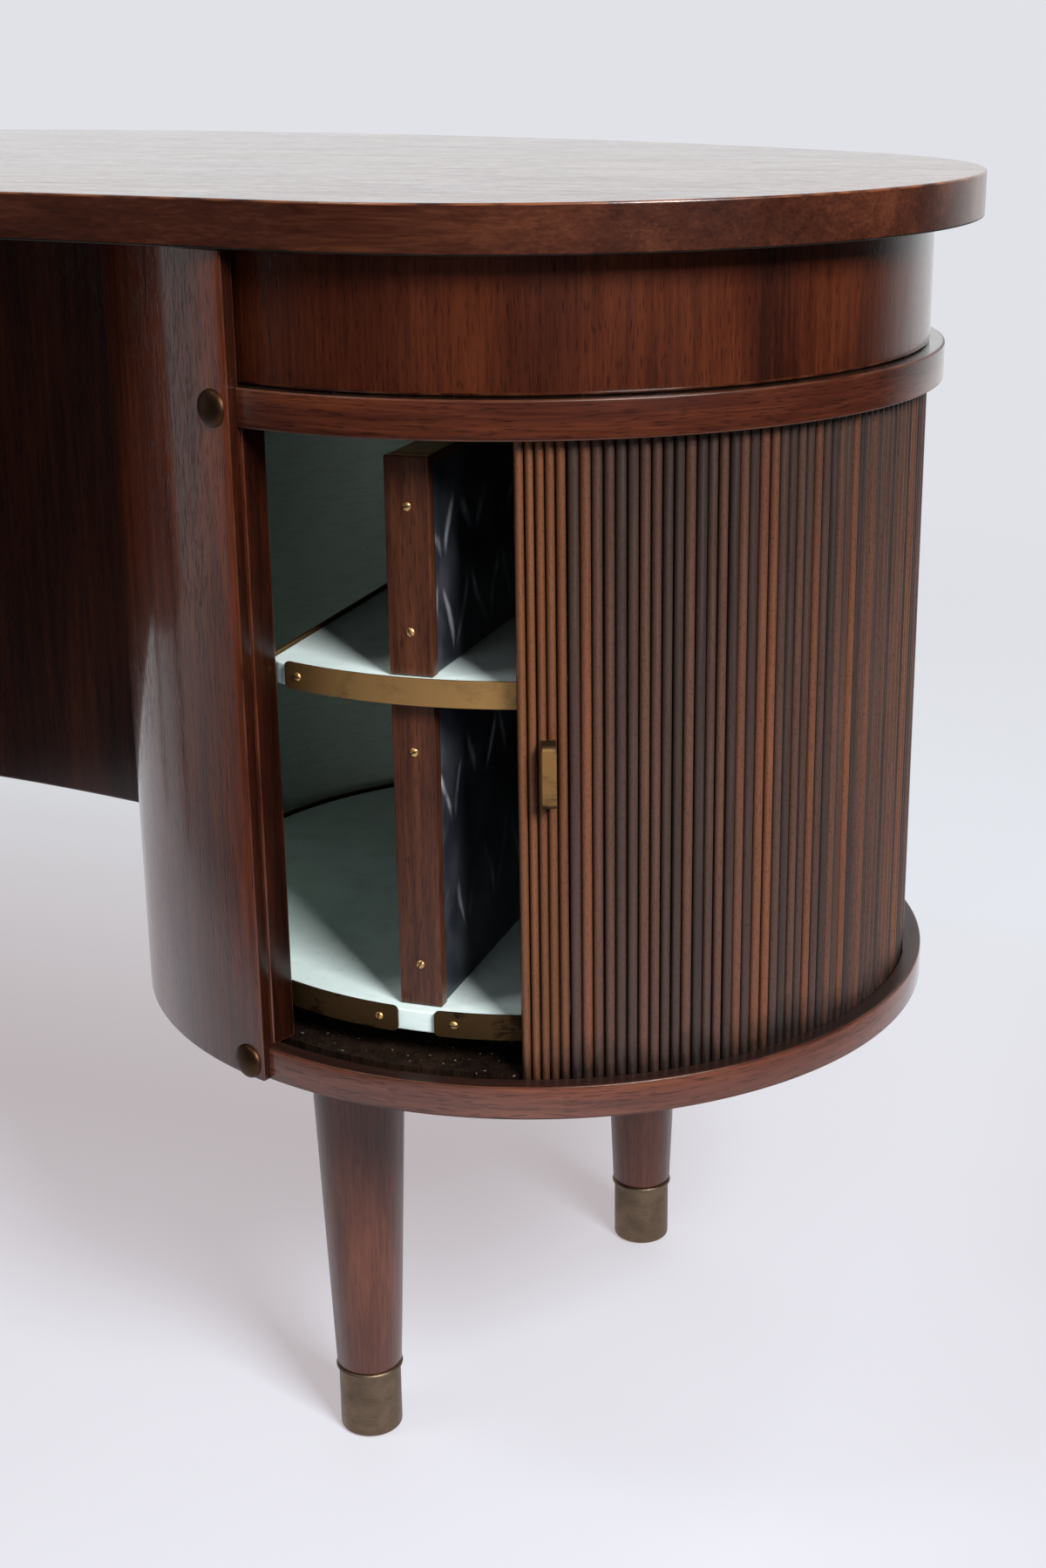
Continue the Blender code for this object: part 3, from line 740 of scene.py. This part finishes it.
def make_plate(name, side, radius, bottom, top, groove_above):
    """A base or ring plate with rounded rims and the door's groove in the face towards the opening."""
    face, far, up = (top, bottom, 1) if groove_above else (bottom, top, -1)
    floor = face - up * GROOVE_DEPTH
    soft = BOARD_ARRIS
    loops = [plate_loop(radius - 2 * soft, far)]
    swings = quarter(ROUND_STEPS)
    rim = [(swing, far, up) for swing in swings] + [(swing, face, -up) for swing in reversed(swings)]
    for swing, z, way in rim:
        loops.append(plate_loop(radius - soft * (1 - sin(swing)), z + way * soft * (1 - cos(swing))))
    loops += [plate_loop(radius - 2 * soft, face), plate_loop(GROOVE_OUTER, face), plate_loop(GROOVE_OUTER, floor)]
    loops += [plate_loop(GROOVE_INNER, floor), plate_loop(GROOVE_INNER, face)]
    shape = loft(loops)
    count = len(loops[0])
    # Bands of faces: 1 to 4 and 6 to 9 are the rounds, 10 and 11 the lip, then come the groove and the caps
    lip_bands = (9, 10, 11) if groove_above else ()
    for index, skin in enumerate(shape.faces):
        band = index // count
        if band in lip_bands:
            skin.material_index = 3
        elif band in (1, 2, 3, 4, 6, 7, 8, 9):
            skin.material_index = 1
        elif band > 10:
            skin.material_index = 2
    shape.transform(drum_frame(side))
    woods = DRUM_WOODS[name]
    kind = "base" if groove_above else "ring"
    materials = [woods[kind], woods["plate_edge"], woods["plate_face"], woods["lip"]]
    to_piece(f"{name}_{kind}_turned", shape, "carcass", materials, [f"{name}_{kind}_plate"])


def make_band(name, kind, side, outline, bottom, top, materials, part, arris):
    """An upright piece of a drum that stands for one CAD part; its last material is on its arrises."""
    ends = 1 if len(materials) == 3 else 0
    shape = rounded_prism(on_drum(outline, side), bottom, top, arris, arris=len(materials) - 1, ends=ends)
    to_piece(f"{name}_{kind}", shape, "carcass", materials, [f"{name}_{part}"])


def make_shell(name, side):
    woods = DRUM_WOODS[name]
    hidden = FRONT_ANGLE + 360
    gap = degrees_along(SEAT, PANEL_INNER)
    post = degrees_along(JAMB_WIDTH, CORE_RADIUS)
    panel_woods = [woods["panel"], woods["panel_end"], woods["panel_edge"]]
    post_woods = [woods["panel_end"], woods["panel_edge"]]
    apron_woods = [woods["apron"], woods["panel_edge"]]
    panel = sector(PANEL_INNER, PANEL_OUTER, BACK_ANGLE + gap, hidden - gap)
    apron = sector(APRON_INNER, APRON_OUTER, FRONT_ANGLE - APRON_LAP, BACK_ANGLE + APRON_LAP)
    front = sector(JAMB_INNER, CORE_RADIUS, hidden - post, hidden)
    rear = sector(REAR_JAMB_INNER, CORE_RADIUS, BACK_ANGLE, BACK_ANGLE + post)
    lining = sector(LINER_INNER, LINER_OUTER, BACK_ANGLE + post + gap, hidden - post - gap)
    floor, ceiling, under_top = BASE_TOP + SEAT, RING_BOTTOM - SEAT, TOP_BOTTOM - SEAT
    bands = (
        ("bent_panel", "side_panel", panel, LEG_HEIGHT, under_top, panel_woods, BOARD_ARRIS),
        ("veneered_apron", "apron", apron, RING_TOP + SEAT, under_top, apron_woods, APRON_ARRIS),
        ("front_post", "front_jamb", front, floor, ceiling, post_woods, BOARD_ARRIS),
        ("rear_post", "rear_jamb", rear, floor, ceiling, post_woods, POST_ARRIS),
    )
    for kind, part, outline, bottom, top, materials, arris in bands:
        make_band(name, kind, side, outline, bottom, top, materials, part, arris)
    make_band(name, "lining", side, lining, floor, ceiling, [LINING], "liner", THIN_ARRIS)


def reed_rows(start, pitch, count, seed, choices, first):
    """The plan of one reeded sheet with each point's reed tone and painted valley shade; tones after the first few are
    drawn.
    """
    chance = random.Random(seed)
    turn = degrees_along(pitch, DOOR_OUTER)
    valley = DOOR_OUTER - REED_VALLEY
    steps, shade_fall, floor_share = 12, 2.8, 0.12
    rows = [(polar(valley, start), 0.5, 1.0)]
    for reed in range(count):
        drawn = chance.choice(choices) + chance.uniform(-TONE_SPREAD, TONE_SPREAD)
        tone = first[reed] if reed < len(first) else drawn
        half = pitch / 2 * chance.uniform(*REED_WIDTHS)
        lean = pitch * chance.uniform(-REED_LEAN, REED_LEAN)
        crest = DOOR_OUTER - chance.uniform(0.0, REED_DROP)
        middle = start + (reed + 0.5) * turn + degrees_along(lean, DOOR_OUTER)
        for step in range(steps + 1):
            swing = radians(180 - 180 * step / steps)
            out = crest - REED_RISE * (1 - sin(swing))
            aside = degrees_along(half * cos(swing), DOOR_OUTER)
            rows.append((polar(out, middle + aside), tone, max(0.0, 1.0 - shade_fall * sin(swing))))
        gap = middle + degrees_along(half, DOOR_OUTER)
        rows.append((polar(valley, gap), tone, 1.0))
        rows.append((polar(valley, min(gap + floor_share * turn, start + (reed + 1) * turn)), tone, 1.0))
    return [list(column) for column in zip(*rows)]


def make_reeds(name, kind, side, start, pitch, count, turn, seed, choices, first, material, node_name):
    points, tones, valley_shades = reed_rows(start, pitch, count, seed, choices, first)
    end = start + count * degrees_along(pitch, DOOR_OUTER)
    back = arc(DOOR_INNER, end, start, 2.0)
    outline = on_drum(points + back, side, turn)
    tones = tones + [0.5] * len(back)
    valley_shades = valley_shades + [0.0] * len(back)
    shape = prism(outline, DOOR_BOTTOM, DOOR_TOP)
    # Each point keeps its reed's tone and its painted valley shade
    tone_layer = shape.verts.layers.float.new("reed_tone")
    valley_shade_layer = shape.verts.layers.float.new("reed_valley_shade")
    for index, vert in enumerate(shape.verts):
        vert[tone_layer] = tones[index % len(tones)]
        vert[valley_shade_layer] = valley_shades[index % len(valley_shades)]
    to_piece(f"{name}_{kind}", shape, name + "_door", [material], [node_name], merge=False)


def make_handle(name, side, turn):
    """A bow of flat brass with a gently crowned grip and short rounded bends; its ends are tarnished and, as painted
    shade, darkened enough to dim the bends' highlight.
    """
    reach, half, thick, bend = 0.010, 0.017, 0.0018, 0.0016
    half_width, arris, end_darkening, darkening_run = 0.00375, 0.0004, 1.3, 0.0045
    outer_bend = thick + bend
    centre = (reach - outer_bend, half - outer_bend)
    upper_outer = [(0.0, half)] + arc(outer_bend, 90, 0, 9, centre)
    upper_inner = arc(bend, 0, 90, 15, centre) + [(0.0, half - thick)]
    lower_outer = [(x, -y) for x, y in reversed(upper_outer)]
    lower_inner = [(x, -y) for x, y in reversed(upper_inner)]
    outline = upper_outer + lower_outer + lower_inner + upper_inner
    shape = rounded_prism(outline, -half_width, half_width, arris)
    # Tarnish towards the ends, and painted shade: strong enough at the bends to dim their highlight
    layer = shape.verts.layers.float.new("tarnish")
    for vert in shape.verts:
        from_end = half - abs(vert.co.y)
        vert[layer] = max(0.0, end_darkening - from_end / darkening_run)
    grip = degrees_along(HANDLE_FROM_EDGE, DOOR_OUTER)
    foot = Matrix.Translation((DOOR_OUTER + SEAT, 0.0, HANDLE_LEVEL)) @ Matrix.Rotation(radians(90), 4, "X")
    shape.transform(drum_frame(side, turn + grip) @ foot)
    to_piece(f"{name}_bow_handle", shape, name + "_door", [HANDLE_BRASS], [name + "_door_handle"])


def make_door(name, side, opened):
    turn = FRONT_ANGLE + opened
    lead_start = degrees_along(LEAD_GAP, DOOR_OUTER)
    lead_end = lead_start + LEAD_REEDS * degrees_along(LEAD_PITCH, DOOR_OUTER)
    woods = DRUM_WOODS[name]
    make_reeds(
        name, "lead_reeds", side, lead_start, LEAD_PITCH, LEAD_REEDS, turn, 5, LEAD_TONES, (), woods["lead"],
        name + "_door_lead",
    )
    reed_turn = degrees_along(REED_PITCH, DOOR_OUTER)
    sheet_start = lead_end + degrees_along(SEAT, DOOR_INNER)
    count = round((BACK_ANGLE - FRONT_ANGLE + DOOR_TAIL - sheet_start) / reed_turn)
    make_reeds(
        name, "sheet_reeds", side, sheet_start, REED_PITCH, count, turn, 11, REED_TONES, FIRST_REEDS, woods["reeds"],
        name + "_reeded_door",
    )
    make_handle(name, side, turn)


def shelf_plan():
    centre_x = -SHELF_CHORD + SHELF_CORNER
    centre_y = sqrt((DISC_RADIUS - SHELF_CORNER) ** 2 - centre_x**2)
    corner = degrees(atan2(centre_y, centre_x))
    upper = arc(SHELF_CORNER, corner, 180, 9, (centre_x, centre_y))
    lower = [(x, -y) for x, y in reversed(upper)]
    return arc(DISC_RADIUS, -corner, corner) + upper[1:] + lower[:-1], corner


def strip_shape(start, end, bottom, top, side, turn, dull):
    """A bent strip whose ends are rounded at their corners and browner than its middle."""
    corner, end_darkening, darkening_run = 0.0030, 0.76, 0.070
    span = degrees_along(corner, STRIP_OUTER)
    rounds = [(span * (1 - cos(swing)), corner * (1 - sin(swing))) for swing in quarter(6)]
    columns = [(start + along, cut) for along, cut in rounds]
    count = len(arc(STRIP_OUTER, start + span, end - span))
    for index in range(1, count - 1):
        columns.append((start + span + (end - start - 2 * span) * index / (count - 1), 0.0))
    columns += [(end - along, cut) for along, cut in reversed(rounds)]
    loops = []
    for angle, cut in columns:
        low, high = bottom + cut, top - cut
        (ix, iy), (ox, oy) = polar(STRIP_INNER, angle), polar(STRIP_OUTER, angle)
        loops.append([(ix, iy, low), (ox, oy, low), (ox, oy, high), (ix, iy, high)])
    shape = loft(loops)
    layer = shape.verts.layers.float.new("tarnish")
    for index, vert in enumerate(shape.verts):
        angle = columns[index // 4][0]
        from_end = radians(min(angle - start, end - angle)) * STRIP_OUTER
        vert[layer] = max(dull, end_darkening - from_end / darkening_run)
    shape.transform(drum_frame(side, turn))
    return shape


def screw_shape(chance):
    """A round head with a near-black sheet across it, a painted shadow in place of its slot, standing on Z."""
    radius, rise, slot_half, proud = 0.0024, 0.0011, 0.00040, 0.00006
    profile = [(radius, 0.0)]
    profile += [(radius * cos(radians(a)), rise * sin(radians(a))) for a in (15, 35, 55, 75)]
    shape = lathe(profile + [(0.0, rise)], 20)
    spin = chance.uniform(0, pi)
    rows = []
    for index in range(9):
        along = radius * 0.96 * (index / 4 - 1)
        lift = rise * sqrt(max(0.0, 1 - (along / radius) ** 2)) + proud
        rows.append([shape.verts.new((along, wide, lift)) for wide in (-slot_half, slot_half)])
    for first, second in zip(rows, rows[1:]):
        face = shape.faces.new((first[0], second[0], second[1], first[1]))
        # The sheet takes the painted slot shadow
        face.material_index = 1
    shape.transform(Matrix.Rotation(spin, 4, "Z"))
    return shape


def gather(shapes):
    """Joins several meshes into one."""
    whole = bmesh.new()
    for shape in shapes:
        part = to_mesh("part", shape)
        whole.from_mesh(part)
        bpy.data.meshes.remove(part)
    return whole


def standing_on(point, outward):
    """Turns a shape that stands on Z to stand on a face at the point."""
    turn = Vector((0.0, 0.0, 1.0)).rotation_difference(Vector(outward)).to_matrix().to_4x4()
    return Matrix.Translation(point) @ turn


def make_screws(name, side, turn):
    """Slotted heads on the edgings and near the ends of the brass strips."""
    chance = random.Random(7)
    disc_inset, shelf_inset = 0.011, 0.009
    spots = [((0.0, sign * EDGING_FACE, z), (0.0, sign, 0.0)) for sign in (-1, 1) for z in EDGING_SCREWS]
    end = degrees_along(STRIP_GAP + disc_inset, STRIP_OUTER)
    corner = shelf_plan()[1] - degrees_along(STRIP_GAP / 2 + shelf_inset, STRIP_OUTER)
    disc_level = DISC_TOP + STRIP_LIP - STRIP_HEIGHT / 2
    shelf_level = SHELF_TOP + STRIP_LIP - STRIP_HEIGHT / 2
    places = [(angle, disc_level) for angle in (-90 + end, -90 - end, 90 + end, 90 - end)]
    places += [(corner, shelf_level), (-corner, shelf_level)]
    for angle, z in places:
        x, y = polar(STRIP_OUTER, angle)
        spots.append(((x, y, z), (x, y, 0.0)))
    shapes = []
    for point, outward in spots:
        shape = screw_shape(chance)
        shape.transform(drum_frame(side, turn) @ standing_on(point, outward))
        shapes.append(shape)
    whole = gather(shapes)
    to_piece(name + "_slotted_screws", whole, name + "_carousel", [SCREW_BRASS, SLOT_SHADOW], merge=False)


def make_carousel(name, side, turn):
    body = name + "_carousel"
    disc = arc(DISC_RADIUS, 0, 360)[:-1]
    shelf, corner = shelf_plan()
    for kind, plan, bottom, top in (("disc", disc, DISC_BOTTOM, DISC_TOP), ("shelf", shelf, SHELF_BOTTOM, SHELF_TOP)):
        shape = rounded_prism(on_drum(plan, side, turn), bottom, top, TRAY_ARRIS)
        to_piece(f"{name}_tray_{kind}", shape, body, [MINT], [f"{name}_carousel_{kind}"])
    gap = degrees_along(STRIP_GAP, STRIP_OUTER)
    top = DISC_TOP + STRIP_LIP
    for half, start in (("outer", -90), ("inner", 90)):
        shape = strip_shape(start + gap, start + 180 - gap, top - STRIP_HEIGHT, top, side, turn, dull=0.92)
        to_piece(f"{name}_disc_band_{half}", shape, body, [BRASS], [f"{name}_disc_strip_{half}"])
    rail = corner - gap / 2
    top = SHELF_TOP + STRIP_LIP
    shape = strip_shape(-rail, rail, top - STRIP_HEIGHT, top, side, turn, dull=0.0)
    to_piece(name + "_shelf_band", shape, body, [BRASS], [name + "_shelf_strip"])
    make_boards(name, side, turn)
    make_screws(name, side, turn)


def make_boards(name, side, turn):
    """The partition boards with their golden top edge, and the edging on their ends."""
    body = name + "_carousel"
    levels = {"lower": (DISC_TOP + SEAT, SHELF_BOTTOM - SEAT), "upper": (SHELF_TOP + SEAT, PARTITION_TOP)}
    board_end = EDGING_FACE - EDGING_DEPTH - SEAT
    for floor_name, (bottom, top) in levels.items():
        plan = on_drum(rectangle(BOARD_HALF, -board_end, board_end), side, turn)
        shape = rounded_prism(plan, bottom, top, LAMINATE_ARRIS, caps=(0, 1))
        node_name = f"{name}_{floor_name}_partition"
        to_piece(node_name + "_board", shape, body, [NAVY, CAP_WOOD], [node_name])
        for end, sign in (("front", -1), ("back", 1)):
            near, far = sorted((sign * EDGING_FACE, sign * (EDGING_FACE - EDGING_DEPTH)))
            plan = on_drum(rectangle(EDGING_HALF, near, far), side, turn)
            shape = rounded_prism(plan, bottom, top, TRAY_ARRIS, caps=(0, 1))
            node_name = f"{name}_{floor_name}_{end}_edging"
            to_piece(node_name + "_strip", shape, body, [EDGING_WOOD, CAP_WOOD], [node_name])


def rectangle(half_width, near, far):
    return [(-half_width, near), (half_width, near), (half_width, far), (-half_width, far)]


def make_leg(name, side, kind, plan):
    """A turned leg, eased where it meets its ferrule, and the ferrule with its rolled lip and rounded foot."""
    swell, ease, ease_height, neck = 0.0003, 0.0006, 0.0015, 0.0004
    stand = Matrix.Translation((side * (DRUM_X + plan[0]), DRUM_Y + plan[1], 0.0))
    shoulder = FERRULE_HEIGHT + SEAT
    profile = [(0.0, LEG_HEIGHT - SEAT), (LEG_TOP_RADIUS, LEG_HEIGHT - SEAT)]
    profile += [(LEG_FOOT_RADIUS + swell, shoulder + ease_height), (LEG_FOOT_RADIUS - ease, shoulder)]
    profile += [(0.0, shoulder)]
    shape = lathe(profile, TURNED_STEPS)
    shape.transform(stand)
    to_piece(f"{name}_{kind}_turned_leg", shape, "carcass", [LEG_WOOD], [f"{name}_{kind}_leg"])
    lip = FERRULE_HEIGHT - FERRULE_LIP
    profile = [(0.0, FERRULE_HEIGHT), (FERRULE_RADIUS, FERRULE_HEIGHT)]
    for index in range(9):
        swing = radians(90 - 180 * index / 8)
        profile.append((FERRULE_RADIUS + FERRULE_LIP * cos(swing), lip + FERRULE_LIP * sin(swing)))
    profile += [(FERRULE_RADIUS, lip - FERRULE_LIP - neck), (FERRULE_RADIUS, FERRULE_ROUND)]
    for swing in quarter(5)[1:]:
        radius = FERRULE_RADIUS - FERRULE_ROUND * (1 - cos(swing))
        profile.append((radius, FERRULE_ROUND * (1 - sin(swing))))
    profile += [(0.0, 0.0)]
    shape = lathe(profile, TURNED_STEPS)
    shape.transform(stand)
    to_piece(f"{name}_{kind}_brass_foot", shape, "carcass", [FERRULE_BRASS], [f"{name}_{kind}_ferrule"])


def make_caps(name, side):
    """Brass domes that hide the panel's fixings, near its upright edges."""
    shapes = []
    dome = [(CAP_RADIUS * cos(swing), CAP_RISE * sin(swing)) for swing in quarter(9)[1:-1]]
    for angle in (FRONT_ANGLE - CAP_FROM_END, BACK_ANGLE + CAP_FROM_END):
        for z in CAP_LEVELS:
            shape = lathe([(CAP_RADIUS, 0.0)] + dome + [(0.0, CAP_RISE)], 40)
            x, y = polar(PANEL_OUTER, angle)
            shape.transform(drum_frame(side) @ standing_on((x, y, z), (x, y, 0.0)))
            shapes.append(shape)
    to_piece(name + "_dome_caps", gather(shapes), "carcass", [CAP_BRASS], merge=False)


def finish_node(node_name, material, arris=0.0):
    """Gives a CAD node that stays its finish and, if asked, rounded arrises with flat faces between them."""
    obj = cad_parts[node_name]
    obj.data.materials.clear()
    obj.data.materials.append(material)
    if arris:
        weld = obj.modifiers.new("weld", "WELD")
        weld.merge_threshold = 0.00001
        bevel = obj.modifiers.new("arris", "BEVEL")
        bevel.width = arris
        bevel.segments = 3
        bevel.limit_method = "ANGLE"
        bevel.angle_limit = radians(40)
        obj.modifiers.new("flat_faces", "WEIGHTED_NORMAL")


def make_pedestal(name, side):
    opened, turn = REST_TURNS[name]
    make_plate(name, side, BASE_RADIUS, LEG_HEIGHT, BASE_TOP, True)
    make_plate(name, side, RING_RADIUS, RING_BOTTOM, RING_TOP, False)
    make_shell(name, side)
    make_door(name, side, opened)
    make_carousel(name, side, turn)
    make_leg(name, side, "front", FRONT_LEG)
    make_leg(name, side, "back", BACK_LEG)
    make_caps(name, side)
    finish_node(name + "_shelf_edge_strip", EDGE_BRASS, THIN_ARRIS)
    finish_node(name + "_panel_packer", MODESTY_WOOD)
    finish_node(name + "_bearing_base", STEEL)
    finish_node(name + "_bearing_race", STEEL)


make_top()
make_modesty()
for pedestal, sign in SIDES.items():
    make_pedestal(pedestal, sign)


# Floor, light and camera

FLOOR_RADIUS = 7.0
FLOOR_DROP = 0.0005
BACKDROP = (0.755, 0.76, 0.81)
# Bright parts of the room: azimuth, where the glow starts and is full as a cosine, and its strength
DIM = 0.02
GLOWS = ((115.0, 0.30, 0.75, 0.94), (188.0, 0.90, 0.98, 0.60))
# Lights: target, azimuth, elevation, distance, width, watts, and if it shows in reflections
LIGHTS = {
    "key": ((0.648, -0.109, 0.45), -38.0, 34.0, 2.6, 0.85, 108.0, True),
    "left": ((0.6, -0.2, 0.45), -138.0, 57.0, 2.8, 0.6, 15.0, True),
    "front": ((0.6, -0.109, 0.45), -92.0, 12.0, 3.0, 1.0, 6.0, False),
    "inside": ((0.6, -0.2, 0.45), -70.0, 6.0, 2.4, 0.5, 2.0, False),
    "ceiling": ((0.3, 0.1, 0.0), 90.0, 89.0, 2.8, 2.6, 7.0, True),
}
# The fitted camera: place, lens and sensor width in millimetres, turns in degrees
CAMERA_PLACE = (1.1236, -1.3287, 0.8217)
CAMERA_PAN, CAMERA_TILT, CAMERA_ROLL = 21.66, 71.45, -0.82
LENS, SENSOR = 51.88, 36.0


def make_floor():
    """A pale disc that keeps the desk's shadow, is lifted where it is seen, and fades into the backdrop; it has painted
    shade to the right and painted light behind the desk.
    """
    shape = lathe([(FLOOR_RADIUS, 0.0), (0.0, 0.0)], 96)
    mesh = to_mesh("studio_floor", shape)
    floor = to_scene("studio_floor", mesh)
    floor.location.z = -FLOOR_DROP
    material, tree, shader = new_finish("studio_floor")
    vector = place(tree)
    parts = split(vector)
    cloud = noise(vector, 3.0, 4.0)
    # A bluish floor colour that offsets the warm lift below, so that the lit floor looks neutral
    shade = ramp(cloud, (0.3, (0.620, 0.705, 0.800)), (0.7, (0.650, 0.735, 0.830)))
    # Painted shade: the floor's colour darkens towards the right, where the key lamp lights it most
    shade = blend(level(parts[0], 0.84, 1.10, 0.0, 0.28), shade, (0.0, 0.0, 0.0))
    feed(shader, {"Base Color": shade, "Roughness": 0.75, "Specular IOR Level": 0.2})
    path = node(tree, "ShaderNodeLightPath").outputs
    direct = maths("MAXIMUM", path["Is Camera Ray"], path["Is Glossy Ray"])
    # Painted light: behind the desk the floor is lifted more, in a neutral tint; near the desk the lift is warm, so
    # that its shadows look warm
    behind = level(parts[1], 0.10, 0.75)
    tint = blend(behind, (0.93, 0.80, 0.81), (0.91, 0.915, 0.945))
    pale = after("ShaderNodeEmission", {"Color": tint}).outputs[0]
    share = times(direct, level(behind, 0.0, 1.0, 0.44, 0.66))
    lifted = after("ShaderNodeMixShader", {0: share, 1: shader.outputs[0], 2: pale})
    away = after("ShaderNodeVectorMath", {0: vector}, operation="LENGTH").outputs["Value"]
    corner = dot(vector, (-0.7, -0.7, 0.0))
    near_fade = maths("MAXIMUM", level(away, 1.2, 1.9), level(corner, 0.5, 0.75))
    far_fade = level(away, 1.15, 2.6)
    seen_fade = times(far_fade, path["Is Camera Ray"])
    hidden_fade = times(near_fade, minus(1.0, path["Is Camera Ray"]))
    far = maths("ADD", seen_fade, hidden_fade)
    clear = node(tree, "ShaderNodeBsdfTransparent").outputs[0]
    faded = after("ShaderNodeMixShader", {0: far, 1: lifted.outputs[0], 2: clear})
    feed(tree.nodes["Material Output"], {"Surface": faded.outputs[0]})
    mesh.materials.append(material)


def make_world():
    """A pale studio: bright behind and to the left of the desk, dim on the camera's side."""
    world = bpy.data.worlds.new("studio")
    bpy.context.scene.world = world
    world.use_nodes = True
    tree = world.node_tree
    way = node(tree, "ShaderNodeTexCoord").outputs["Generated"]
    glow = DIM
    for azimuth, low, high, bright in GLOWS:
        aim = (*polar(1.0, azimuth), 0.0)
        glow = maths("MAXIMUM", level(dot(way, aim), low, high, DIM, bright), glow)
    room = ramp(glow, (0.0, (0.0, 0.0, 0.0)), (1.0, (0.985, 0.985, 1.0)))
    seen = node(tree, "ShaderNodeLightPath").outputs["Is Camera Ray"]
    feed(tree.nodes["Background"], {"Color": blend(seen, room, BACKDROP), "Strength": 1.0})


def make_light(name, target, azimuth, elevation, distance, width, power, mirrored):
    lamp = bpy.data.lights.new(name, "AREA")
    lamp.shape = "SQUARE"
    lamp.size = width
    lamp.energy = power
    obj = to_scene(name, lamp)
    obj.visible_glossy = mirrored
    flat = cos(radians(elevation)) * distance
    x, y = polar(flat, azimuth, target)
    obj.location = (x, y, target[2] + distance * sin(radians(elevation)))
    obj.rotation_euler = (Vector(target) - obj.location).to_track_quat("-Z", "Y").to_euler()


def make_camera():
    data = bpy.data.cameras.new("photo_camera")
    data.sensor_width = SENSOR
    data.lens = LENS
    data.clip_start = 0.05
    camera = to_scene("photo_camera", data)
    turn = Matrix.Translation(CAMERA_PLACE)
    for angle, axis in ((CAMERA_PAN, "Z"), (CAMERA_TILT, "X"), (CAMERA_ROLL, "Z")):
        turn = turn @ Matrix.Rotation(radians(angle), 4, axis)
    camera.matrix_world = turn
    bpy.context.scene.camera = camera


make_floor()
make_world()
for light, values in LIGHTS.items():
    make_light(light, *values)
make_camera()
bpy.context.scene.view_settings.view_transform = "Standard"
